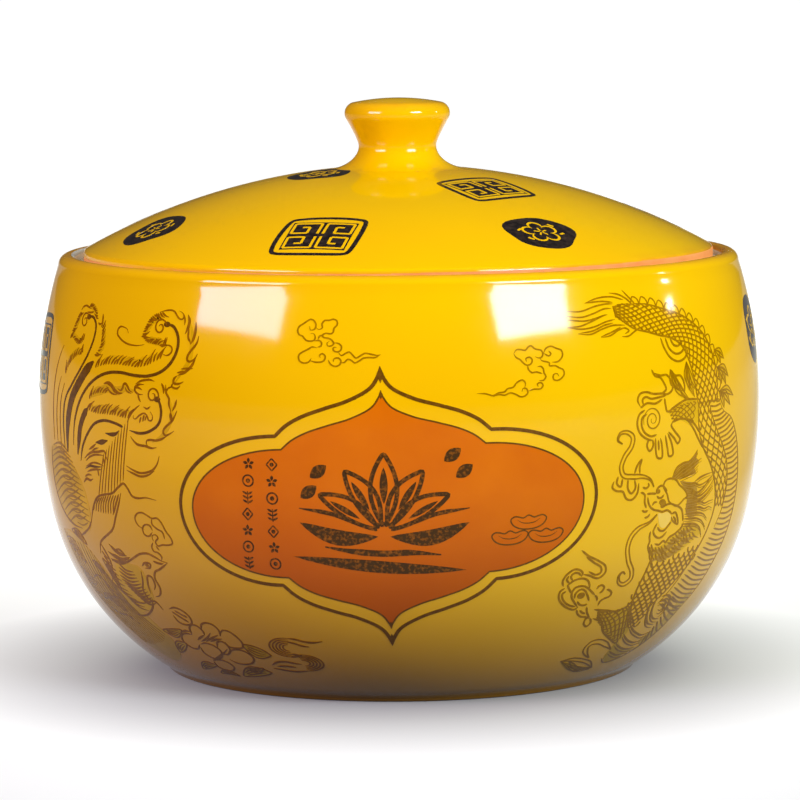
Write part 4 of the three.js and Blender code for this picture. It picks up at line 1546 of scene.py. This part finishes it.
PLATES_INNER = (
    (118, 5), (118, 0), (119, -6), (122, -11.5), (127, -17), (132, -25), (134, -33), (131, -42),
    (126, -50), (120, -60), (114, -68),
)
PLATES_OUTER = (
    (132, 5), (135, 1), (142, -2.5), (147, -9), (150, -16), (152.5, -25), (153, -35), (151, -45),
    (147, -55), (142, -65), (135, -74),
)
PLATES_MIDDLE = (
    (125, 5), (127, 0), (131, -6), (136, -12), (140, -18), (142, -26), (141, -34), (137, -41),
    (130, -50), (122, -60), (115, -68),
)
DRAGON_LINES = (
    ((100, 28.6), (101.4, 25), (104, 21.6), (108, 20), (112, 21), (114.5, 24)),
    ((102.4, 28.4), (104, 24.6), (107.5, 22.6), (111, 23.4), (112.8, 26)),
    ((105, 28), (106.4, 25.8), (109, 25.3), (111, 27)),
    ((94, 18.2), (95.4, 16), (98, 15.2), (99.8, 13), (100.6, 11), (98, 9.6)),
    ((95, 17), (98, 15.9), (101.4, 15.8), (103.6, 13), (103.8, 10.8), (101.4, 9.4), (98, 9.8), (94, 10),
     (91, 10.8), (88, 10.4), (86.8, 8.3), (88, 6)),
    ((100.4, 9), (97, 8.6), (93, 8.4), (90.6, 9.2), (89, 8.2), (89.6, 6.2)),
    ((103.2, 17.6), (105.6, 15.4), (108.6, 15), (110.4, 12), (110.2, 9)),
    ((103.4, 17.4), (106.6, 13.6), (108, 10), (110, 7.6), (114, 6.4)),
    ((88, 5.6), (91, 7), (95, 6.6), (98.4, 7.8)),
    ((90, 4.8), (87.4, 3.4), (86.4, 0.4), (87.6, -2.8), (90.6, -5), (94, -6)),
    ((91, 3.4), (88.8, 2.2), (88.4, -0.2), (90, -3), (93, -4.4), (95.6, -4)),
    ((99.6, 8), (100, 5.6), (100.6, 3.6), (103, 3.4)),
    ((91.8, -5.2), (91, -7.6), (92.4, -9.4), (94, -7.6), (93.6, -5.6)),
    ((95, -5.2), (95.2, -9), (96.2, -12), (98.4, -12.2), (98.2, -8), (97.4, -5.4)),
    ((96.4, -6), (96.8, -9.6)),
    ((99.8, -4.6), (101, -9), (102, -12), (104, -11.6), (103, -7.4), (101, -4)),
    ((101.4, -3.6), (104.4, -6), (106.4, -8), (107.6, -6.6), (105, -4), (102.8, -1.4), (103.6, -0.4)),
    ((102, 3.6), (106, 5.2), (111, 6.6), (118, 6.2)),
    ((103, -0.6), (107, 0.3), (111, -0.2), (115, -3.6), (118.6, -8), (122, -11.6)),
    ((112, 0), (115.4, -2), (119, -5.4)),
    ((77, -18.5), (76.4, -20.6), (78.4, -22), (81, -22.4), (82.8, -25), (85.4, -25.6), (87.6, -23.6),
     (88, -20)),
    ((78.6, -17), (78.2, -19.4), (80, -20.6), (80.6, -18)),
    ((83, -18.4), (83.2, -21.6), (85, -23.4), (86.6, -21.6), (86, -18.8)),
    ((85.8, -16.6), (86.8, -14), (88.8, -12), (88, -14.4), (88.2, -16.8)),
    ((90, -21.6), (91.6, -22.2), (92.9, -21.4), (92.4, -20.4)),
    ((89.2, -23.4), (90.4, -23.8), (91.3, -24.6), (91.5, -27), (92.6, -29.2)),
    ((92.2, -24.2), (95, -24.3), (96.8, -24.6)),
    ((92.8, -25.4), (93.5, -27.6), (94.8, -29.2), (96.6, -30.2), (98.8, -30.7), (101, -31.3),
     (103.4, -31), (105.2, -31.8), (106.4, -32.8)),
    ((95.4, -28.6), (96.2, -27.6), (97.8, -27.6)),
    ((96.8, -24.4), (97.3, -22.8), (98.7, -22), (100.1, -22.2), (101.2, -23.2), (102.4, -24.2)),
    ((97.2, -25.4), (98.4, -26.2), (99.8, -26.2), (101, -25.2)),
    ((98.8, -28.4), (99.4, -27.4), (100.8, -27.2), (101.8, -28), (102, -29), (101, -29.6), (99.6, -29.4)),
    ((101.2, -29.4), (103.4, -28.9), (105.6, -28.8)),
    ((90.6, -29.8), (92.2, -30.5), (93.6, -30.1)),
    ((92.2, -32.6), (93.8, -32.4), (94.8, -31.4)),
    ((106.2, -32.6), (108.2, -32.3), (109.4, -33.6), (110.2, -35.2), (110.5, -36.7), (108.7, -36),
     (107, -34.9), (106.2, -33.6)),
    ((107.2, -33.6), (108.4, -34.6), (109.4, -35.8)),
    ((99, -35.2), (98.2, -36.6), (97.6, -37.8), (98.4, -39.3), (99.8, -40.3), (101.4, -40.7),
     (103.2, -40.2), (104.8, -38.8)),
    ((99.4, -36.6), (101, -38), (103.2, -38.2), (105.2, -36.7), (106.6, -35.4)),
    ((96.2, -37.8), (96.1, -39.8), (96.6, -41.6), (96.2, -43.2), (97.3, -45.4), (99.2, -47)),
    ((97.6, -42.6), (98.8, -44.6), (100.6, -45.6)),
    ((99.4, -42.6), (101.8, -43.2), (104, -42), (105.2, -42.8), (107, -41), (109, -40.4), (110.8, -39.6),
     (113.2, -38), (113.8, -36.4)),
    ((105.9, -28.8), (107.2, -29.7), (109.4, -30.3), (111.6, -31.6), (112.8, -33.8), (113.4, -36)),
    ((99.6, -47.6), (98, -54), (96.6, -60), (97, -66), (100, -72), (104, -77)),
    ((75.6, -69), (75.4, -71.8), (77.4, -73.4), (78.8, -72), (77.6, -69.6)),
    ((66, -41.8), (69, -44), (74, -46.4), (77.4, -48.6), (78, -51), (75.4, -53), (71, -51.6), (68, -50.8)),
    ((68.4, -44.4), (72, -46.8), (75.6, -49), (76, -50.8), (74, -51.6), (70.4, -50)),
    ((60.9, -55), (60.2, -53), (61, -51), (62.4, -49.7), (64.3, -48.7), (66.7, -49.2), (68, -50.4),
     (67.6, -51.8)),
    ((63.2, -54), (61.8, -52.4), (62.4, -51)),
    ((64.4, -53), (63.3, -51.4), (64.3, -50.2), (66.3, -50.3), (67.4, -51.4)),
    ((62.6, -54.8), (63.8, -53.7), (66, -52.7), (68.7, -52.5), (70.8, -53.4), (72, -55), (72.6, -56.6)),
    ((62.4, -54.4), (63.2, -55.6), (64, -56.7), (65, -58)),
    ((76, -59.8), (73.7, -58), (72, -56.7), (70, -55.7), (67.7, -55.5), (66, -56.1), (65.2, -57.7),
     (65.7, -59.8), (67.3, -61.8), (69.4, -64)),
    ((67, -60.4), (66.8, -58.7), (67.8, -57.3), (69.4, -56.8), (71, -57.7), (72.4, -59.4), (74, -62)),
    ((68.6, -61.6), (70, -63), (72, -63.6), (73.6, -63.2)),
    ((61.7, -55.7), (60, -57), (60, -59.3), (61.7, -61.7), (65, -64), (68.3, -65), (69.8, -64)),
    ((62.6, -57), (61.2, -58), (61.8, -60), (63.8, -62), (66.4, -63.3), (68.4, -63.8)),
    ((69.4, -65.2), (70.8, -67.3), (72.7, -68.5), (74.8, -68.8), (76.4, -69.8)),
    ((71, -65.6), (72.8, -66.8), (74.2, -67.4)),
    ((73.8, -64.4), (74.8, -66.8), (76, -68.3), (77.2, -70)),
    ((75.9, -57.4), (76.7, -56.3), (78, -56), (79.3, -57), (79, -58.4), (77.8, -59.2)),
    ((80.8, -58), (82, -58.3), (83.7, -59.7), (83.3, -61), (81, -61.7), (79.4, -62.7), (79, -64.4)),
    ((76, -59.8), (77.3, -61), (77.8, -62.4)),
    ((78, -66), (84, -67), (90, -68), (95, -66.4), (97.6, -63)),
    ((79, -70), (84, -72), (88, -77), (94, -81), (101, -85)),
)
WHISKERS = (
    (((80, -6), (78, -4.6), (79, -2.5), (82, -2.2), (84.5, -4), (84, -7), (81.2, -10.4), (79.8, -14),
      (81, -16.8), (85, -17.6), (90, -18), (93.4, -19.4), (95.4, -22)), 1.5),
    (((98.4, -32), (95, -34.5), (90, -36.2), (87, -39), (86.2, -43), (88, -48), (90.8, -52), (91.2, -55),
      (88.4, -56.8), (85.6, -55.6), (85, -53), (86.4, -51.8), (87.8, -52.8)), 1.6),
    (((99, -98.6), (93, -94.4), (86.6, -92), (80, -90.6), (74, -91)), 1.8),
    (((98, -99.2), (91, -98.6), (85, -95.6), (79, -91.4)), 1.6),
    (((90, -91), (86, -88), (84, -85), (85.2, -82.6), (89, -82.2), (94, -84), (101, -88)), 2.2),
)
# Each tuft has its root, its tips, and how far its hairs bend
TUFTS = (
    ((103.2, 17.6), ((107, 10), (113, 6.4), (110.4, 9.4)), -0.12),
    ((112.4, 19.6), ((113.6, 10), (116, 7), (117.6, 9)), -0.10),
    ((131, 22), ((138, 18.4), (135, 17)), 0.12),
    ((132, 16), ((140.4, 12), (138, 9.4), (134.6, 10)), 0.15),
    ((132.4, 7.6), ((144, 5), (141, 2), (136, 1.4)), 0.12),
    ((99, -98.6), ((74, -91), (80, -94.6)), 0.08),
)
# Each lock of the mane has its line and its width
MANE = (
    (((104.4, -19.8), (106.3, -16.8), (110, -15.2), (113.6, -14.8), (116, -13.2), (118, -11.4)), 0.8),
    (((105.4, -19.6), (109, -17.4), (113, -16.2), (116.4, -14), (118, -11.6)), 0.9),
    (((106.6, -19.8), (110.6, -18.2), (114.4, -16.8), (117.4, -15.6), (120.8, -14.6)), 0.9),
    (((108, -20), (112, -19), (116, -17.6), (119, -16)), 0.9),
    (((109, -20.6), (113, -19.8), (117, -19), (118.8, -18)), 0.7),
    (((117.4, -22.6), (121.5, -21.2), (125.6, -20.6), (129, -20.4)), 0.6),
    (((110.6, -22), (114.6, -23), (117.8, -23), (121, -24), (124.8, -23.4), (128.6, -21.8)), 0.8),
    (((112, -24), (116, -25), (119.8, -26.6), (123.6, -25.4), (127.2, -22.8), (129.8, -21.4)), 0.9),
    (((113, -26), (117, -26.6), (121, -28), (125, -27), (128.6, -24.8), (130.4, -23)), 0.8),
    (((113.4, -28), (118, -28.4), (122.4, -29.4), (126.6, -28), (130.6, -25.2)), 0.9),
    (((113.6, -30), (118.4, -30), (122.6, -30), (126, -31), (129, -30.6), (132, -30.4)), 0.8),
    (((113.6, -31.6), (118, -31.8), (122.6, -32), (126.4, -33), (129.4, -32.6), (131.8, -33.4)), 0.9),
    (((113.8, -33.6), (118.4, -33.8), (122.6, -34), (126.4, -35), (129.2, -36.8)), 0.9),
    (((113.4, -35.2), (117.6, -35.6), (122, -36), (126, -37.4), (129.2, -40)), 0.8),
    (((112.8, -37), (117, -37.4), (121.4, -38), (125, -39.6), (127.4, -42.6)), 1.0),
)
# Each row of the frill is a curve with its number of hairs
FRILL = (
    (((97, -43.4), (101.8, -44), (105.2, -43.4), (109, -41), (113, -39), (119, -37.6)), 15),
    (((97.6, -45.6), (103.6, -46.6), (108.4, -45.4), (112.4, -43.4), (116.4, -41.6), (122, -40.4)), 15),
)
MANE_STEP = (0.3, -0.9)
HIP_STEP = (0.4, -1.6)
HIP_LINES = (
    ((108.6, -66), (109.4, -70), (111.6, -74), (115, -77), (120.4, -78.4)),
    ((111.4, -65.4), (111.6, -69), (113.6, -72.6), (117, -75), (121.6, -75.8)),
    ((114.6, -65), (117.6, -64.8), (120.8, -66), (122.4, -68.6), (121.8, -71.6), (119.4, -73.4)),
    ((114.4, -67.4), (117, -67), (119.4, -68), (120.2, -70), (118.8, -71.6), (116.6, -71)),
    ((103, -76), (107, -79), (112, -81.4), (117, -83), (121.6, -82.4)),
    ((102, -80), (106, -83), (111, -85.4), (116, -86.6), (120.6, -86)),
    ((101, -84.6), (105, -87), (110, -89), (115, -90), (119.6, -89.6)),
    ((101, -89), (105, -91), (110, -92.6), (116, -92.6)),
)
NECK = (
    (100.4, -48.6), (106, -49), (113, -48), (120, -46), (128, -44.6), (125.4, -50), (121, -56),
    (115.4, -61.4), (111, -66), (109, -71), (107, -76.6), (103, -77), (99.4, -71), (96.6, -66),
    (96.6, -60), (98.4, -54),
)
MOUTH = (
    (99, -31.8), (101, -32), (103.4, -31.7), (105.2, -32.6), (106, -33.8), (105.6, -35.2), (104, -36.8),
    (102, -37.2), (100.4, -36.2), (99.6, -34.4),
)
MANE_WASHES = (
    ((104.4, -19.8), (106.4, -16.6), (110, -15.1), (113.6, -14.8), (116, -13.2), (118, -11.4),
     (117.4, -14), (119.6, -15.4), (116.6, -17.4), (118, -19.4), (112, -20), (108, -20.6)),
    ((109, -21.4), (113, -22), (117, -22.8), (119.6, -25), (120.6, -28), (120.8, -31), (121.6, -34.6),
     (116.4, -35), (114, -32), (114.2, -28.6), (113, -25.4)),
)
DRAGON_WASHES = (
    ((109, -40), (113, -38), (118, -37.6), (124, -38.6), (127, -41.4), (122, -44), (116, -47),
     (108, -49), (101, -48.8), (98, -44), (101, -44), (105, -43)),
    ((80, -66.6), (88, -68.4), (95, -67), (100, -73), (104, -80), (101, -84.6), (94, -80.4), (87, -75.8),
     (82, -70.6)),
    ((139, -66), (136, -74), (129, -84), (123, -89), (119, -86), (126, -78), (131, -69)),
    ((101, -84), (108, -88), (118, -90), (124, -89.6), (117, -95), (107, -97), (101, -92.6)),
    ((101, 3.4), (108, 5.4), (117, 6), (119, 0), (115, -2.6), (108, 0)),
)


def scale_field(drawing, outline, size, width):
    """Overlapping round scales of one size, wherever one's middle lies in an outline."""
    low = np.min(outline, axis=0)
    high = np.max(outline, axis=0)
    for row in range(ceil((high[1] - low[1]) / (0.5 * size))):
        for column in range(ceil((high[0] - low[0]) / size)):
            u = low[0] + size * (column + 0.5 * (row % 2))
            s = high[1] - 0.5 * size * row
            if encloses(outline, u, s):
                drawing.stroke(ellipse((u, s), 0.5 * size, 0.62 * size, pi, tau, 8), width, BLUNT)


def encloses(outline, u, s):
    """Whether a spot lies in a closed outline."""
    crossings = 0
    for (u0, s0), (u1, s1) in zip(outline, outline[1:] + outline[:1]):
        if (s0 > s) != (s1 > s) and u < u0 + (u1 - u0) * (s - s0) / (s1 - s0):
            crossings += 1
    return crossings % 2 == 1


# Rows of scales: the edges they lie between, how many rows, how many across and the line
SCALE_ROWS = (
    (((102, 3), (108, 5), (117, 5.6)), ((103.4, -0.4), (108, 0.2), (115, -2)), 8, 3, 0.45),
    (((80, -66.6), (88, -68), (95, -67), (101, -74)),
     ((81, -70.4), (87, -75.6), (94, -80.4), (102, -85)), 12, 4, 0.65),
)
HIP_EDGES = (((122, -66), (122.6, -75), (122, -84)), ((137, -71), (132, -80), (124, -90)))
LOWEST_COIL = ((135, -74), (130, -83), (122, -91), (112, -95.6), (104, -96), (100, -93))
BROW = (
    (100.2, -22.2), (100.7, -20.8), (102.1, -20), (104.6, -20), (107.1, -21), (108.6, -22.5),
    (111.2, -24.1),
    (113.2, -25.7), (114, -27.2), (112.3, -28), (109.2, -29.8), (107, -29.5), (104, -28.1), (102.6, -25.4),
)
DRAGON_EYES = ((97.7, -23.9), (100.4, -28.4))
PEARL = (69.6, -59.4)
CURL = (93.6, 1.2)
CREST_COUNT = 17
CREST_HEIGHT = 0.6
TUFT_WIDTH = 3.4
HAIR_ENDS = (0.2, 0.5)
HIP_ENDS = (0.2, 0.3)


def back_crest(drawing):
    """A row of low fins along the back."""
    crest = evenly(BACK[2:], CREST_COUNT)
    for a, b in zip(crest, crest[1:]):
        along = b - a
        out = np.array([-along[1], along[0]]) * CREST_HEIGHT
        fin = [a, between(a, b, 0.3) + out, between(a, b, 0.8) + 0.7 * out, b]
        drawing.stroke(fin, 0.5, BLUNT)


def tufts(drawing, wash):
    for root, tips, bend in TUFTS:
        for tip in tips:
            rim = leaf(root, tip, TUFT_WIDTH, bend)
            wash.fill(rim)
            for share in (0.1, 0.5, 0.9):
                drawing.stroke([root, between(rim[6], rim[18], share), tip], 0.5, (0.1, 0.3))


def dragon():
    wash = washed(DRAGON_WASHES)
    tone = washed(MANE_WASHES)
    # Painted highlight inside the dragon's mouth
    mouth_highlight = Drawing(on_wall, FILL_LIFT)
    mouth_highlight.fill(smooth(MOUTH, True, 1.0))
    drawing = Drawing(on_wall)
    drawing.strokes(TAIL_HAIRS, 0.6, (0.25, 0.1))
    drawing.strokes((BACK, UNDERSIDE), 0.6, TAPER)
    scales(drawing, BACK, UNDERSIDE, 34, 5, 0.6)
    back_crest(drawing)
    drawing.stroke(PLATES_INNER, 0.7)
    drawing.stroke(PLATES_OUTER, 0.6)
    drawing.stroke(PLATES_MIDDLE[:8], 0.5)
    scales(drawing, PLATES_INNER[:7], PLATES_MIDDLE[:7], 17, 3, 0.6)
    rows_between(drawing, PLATES_MIDDLE, PLATES_OUTER, 44, 0.06, 0.7)
    drawing.strokes(DRAGON_LINES, 0.8, (0.06, 0.08))
    for points, width in WHISKERS:
        ribbon(drawing, points, width, 0.6)
    drawing.stroke(spiral(CURL, 4.4, 0.5, radians(200), -2.2), 0.55)
    drawing.dot(PEARL, 1.7, 1.3, 12)
    for eye in DRAGON_EYES:
        drawing.dot(eye, 1.1, 0.85, 12)
    drawing.stroke(BROW, 0.7, closed=True)
    tufts(drawing, wash)
    for points, width in MANE:
        drawing.stroke(points, width, HAIR_ENDS)
        drawing.stroke(np.add(points, MANE_STEP), 0.45 * width, HAIR_ENDS)
        tone.stroke(points, 1.0, (0.3, 0.7))
    for curve, count in FRILL:
        vane(drawing, tone, curve, count, 4.2, -0.7)
    for row in SCALE_ROWS:
        scales(drawing, *row)
    scale_field(drawing, NECK, 3.4, 0.7)
    for points in HIP_LINES:
        drawing.stroke(points, 0.9, HIP_ENDS)
        drawing.stroke(np.add(points, HIP_STEP), 0.6, HIP_ENDS)
    rows_between(drawing, *HIP_EDGES, 9, 0.05, 0.8)
    drawing.stroke(LOWEST_COIL, 1.1)
    wash.piece("dragon_wash", WASH, "jar")
    tone.piece("dragon_mane", SHADE, "jar")
    mouth_highlight.piece("dragon_mouth_highlight", MOUTH_HIGHLIGHT, "jar")
    drawing.piece("dragon", GOLD, "jar")


dragon()


# Stage, lights and camera

FLOOR_REACH = 40.0
LIGHT_POOL_NARROW = 1.6
VIEW_WIDTH = 0.144
VIEW_SPREAD = 0.099
FLOOR_COLOUR = (0.28, 0.295, 0.235, 1)
FLOOR_UNLIT = (0.05, 0.045, 0.04, 1)
# Stretches of the floor's glow, each with what it is at the start and at the end
SHADOW = (0.085, 0.18, 0.12, 1.0)
LIGHT_POOL = (0.24, 0.6, 0.72, 0.24)
VIEW_FADE = (1.05, 1.9, 1.0, 0.0)
BEHIND = (0.08, 0.3)
WHITE_BEHIND = 0.97
LAMP_AIM = Vector((0, 0, 0.12))
# Name, azimuth and elevation in degrees, distance, width, height, radiance, tint and mirrored or not
LAMPS = (
    ("key_right", 43, 22, 1.5, 0.62, 0.36, 40, (0.74, 0.74, 1.0), True),
    ("key_left", -52, 22, 1.5, 0.76, 0.36, 28, (0.66, 0.51, 0.85), True),
    ("lamp_high", 96.5, 17.7, 1.5, 0.075, 0.055, 45, (1, 1, 0.97), True),
    ("lamp_low", 96.5, 12.3, 1.5, 0.075, 0.055, 45, (1, 1, 0.97), True),
    ("fill_back", 180, 20, 1.8, 1.2, 0.7, 8.5, (1, 1, 1), False),
    ("fill_top", 75, 62, 1.6, 0.7, 0.7, 3.0, (0.9, 1, 1), False),
)
SKY = 0.18
SKY_MIRRORED = 0.04
CAMERA_LENS = 181.8
CAMERA_SENSOR = 36.0
CAMERA_DISTANCE = 1.465
CAMERA_ELEVATION = radians(6.07)
CAMERA_ROLL = radians(0.45)
CAMERA_LEVEL = 0.100
AIM = Vector((0.0002, 0, 0.0954))


def stage_floor():
    """A pale floor, white behind the jar, that throws little light up at it, with a painted shadow close
    around the jar's foot and a painted pool of light around the jar.
    """
    mesh = bpy.data.meshes.new("floor")
    corners = [(x * FLOOR_REACH, y * FLOOR_REACH, 0) for x, y in ((-1, -1), (1, -1), (1, 1), (-1, 1))]
    mesh.from_pydata(corners, [], [(0, 1, 2, 3)])
    floor = bpy.data.objects.new("floor", mesh)
    bpy.context.collection.objects.link(floor)
    material, tree, shader = new_material("pale_floor")
    tree.nodes.remove(shader)
    path = tree.nodes.new("ShaderNodeLightPath")
    seen = path.outputs["Is Camera Ray"]
    for ray in ("Is Glossy Ray", "Is Transmission Ray"):
        seen = maths(tree, "MAXIMUM", seen, path.outputs[ray])
    unlit = node(tree, "ShaderNodeBsdfDiffuse", Color=FLOOR_UNLIT)
    pale = node(tree, "ShaderNodeBsdfDiffuse", Color=FLOOR_COLOUR)
    glow = node(tree, "ShaderNodeEmission", Color=(1, 1, 1, 1))
    place = places(tree)[1]
    along = maths(tree, "MULTIPLY", place["Y"], place["Y"])
    across = maths(tree, "MULTIPLY", place["X"], place["X"])
    far = maths(tree, "SQRT", maths(tree, "ADD", across, along))
    stretched = maths(tree, "SQRT", maths(tree, "MULTIPLY_ADD", across, LIGHT_POOL_NARROW ** 2, along))
    # Painted shadow: the glow fades close to the jar's foot. Painted pool of light: the glow is brighter
    # near the jar and dimmer farther off
    near = ramp(tree, far, *SHADOW)
    light_pool = ramp(tree, stretched, *LIGHT_POOL)
    beside = maths(tree, "ABSOLUTE", place["X"])
    seen_width = maths(tree, "MULTIPLY_ADD", place["Y"], VIEW_SPREAD, VIEW_WIDTH)
    in_view = ramp(tree, maths(tree, "DIVIDE", beside, seen_width), *VIEW_FADE)
    behind = maths(tree, "MULTIPLY", in_view, ramp(tree, place["Y"], *BEHIND))
    white = maths(tree, "MULTIPLY_ADD", behind, maths(tree, "SUBTRACT", WHITE_BEHIND, light_pool), light_pool)
    tree.links.new(maths(tree, "MULTIPLY", near, white), glow.inputs["Strength"])
    both = tree.nodes.new("ShaderNodeAddShader")
    tree.links.new(pale.outputs["BSDF"], both.inputs[0])
    tree.links.new(glow.outputs["Emission"], both.inputs[1])
    choice = tree.nodes.new("ShaderNodeMixShader")
    tree.links.new(seen, choice.inputs["Fac"])
    tree.links.new(unlit.outputs["BSDF"], choice.inputs[1])
    tree.links.new(both.outputs["Shader"], choice.inputs[2])
    tree.links.new(choice.outputs["Shader"], tree.nodes["Material Output"].inputs["Surface"])
    mesh.materials.append(material)


def softbox(name, azimuth, elevation, distance, width, height, radiance, tint, mirrored):
    """A flat lamp that faces the jar. Azimuth 0 is in front, and turns towards +X."""
    azimuth = radians(azimuth)
    elevation = radians(elevation)
    towards = Vector((sin(azimuth) * cos(elevation), -cos(azimuth) * cos(elevation), sin(elevation)))
    data = bpy.data.lights.new(name, "AREA")
    data.shape = "RECTANGLE"
    data.size = width
    data.size_y = height
    data.energy = radiance * pi * width * height
    lamp = bpy.data.objects.new(name, data)
    data.color = tint
    lamp.location = LAMP_AIM + towards * distance
    lamp.rotation_euler = towards.to_track_quat("Z", "Y").to_euler()
    lamp.visible_glossy = mirrored
    lamp.visible_camera = False
    bpy.context.collection.objects.link(lamp)


def studio():
    for lamp in LAMPS:
        softbox(*lamp)
    world = bpy.data.worlds.new("studio")
    world.use_nodes = True
    tree = world.node_tree
    sky = tree.nodes["Background"]
    sky.inputs["Color"].default_value = (1, 1, 1, 1)
    mirrored = tree.nodes.new("ShaderNodeLightPath").outputs["Is Glossy Ray"]
    tree.links.new(ramp(tree, mirrored, 0, 1, SKY, SKY_MIRRORED), sky.inputs["Strength"])
    bpy.context.scene.world = world


def photo_camera():
    data = bpy.data.cameras.new("photo_view")
    data.sensor_width = CAMERA_SENSOR
    data.lens = CAMERA_LENS
    data.clip_start = 0.05
    data.clip_end = 200
    camera = bpy.data.objects.new("photo_view", data)
    back = Vector((0, -cos(CAMERA_ELEVATION), sin(CAMERA_ELEVATION)))
    camera.location = Vector((0, 0, CAMERA_LEVEL)) + back * CAMERA_DISTANCE
    look = (AIM - camera.location).to_track_quat("-Z", "Y").to_matrix()
    roll = look @ Vector((0, 0, 1))
    tilt = look.to_4x4()
    turn = tilt.Rotation(-CAMERA_ROLL, 4, roll)
    camera.rotation_euler = (turn @ tilt).to_euler()
    bpy.context.collection.objects.link(camera)
    bpy.context.scene.camera = camera


stage_floor()
studio()
photo_camera()
bpy.context.scene.view_settings.view_transform = "Standard"
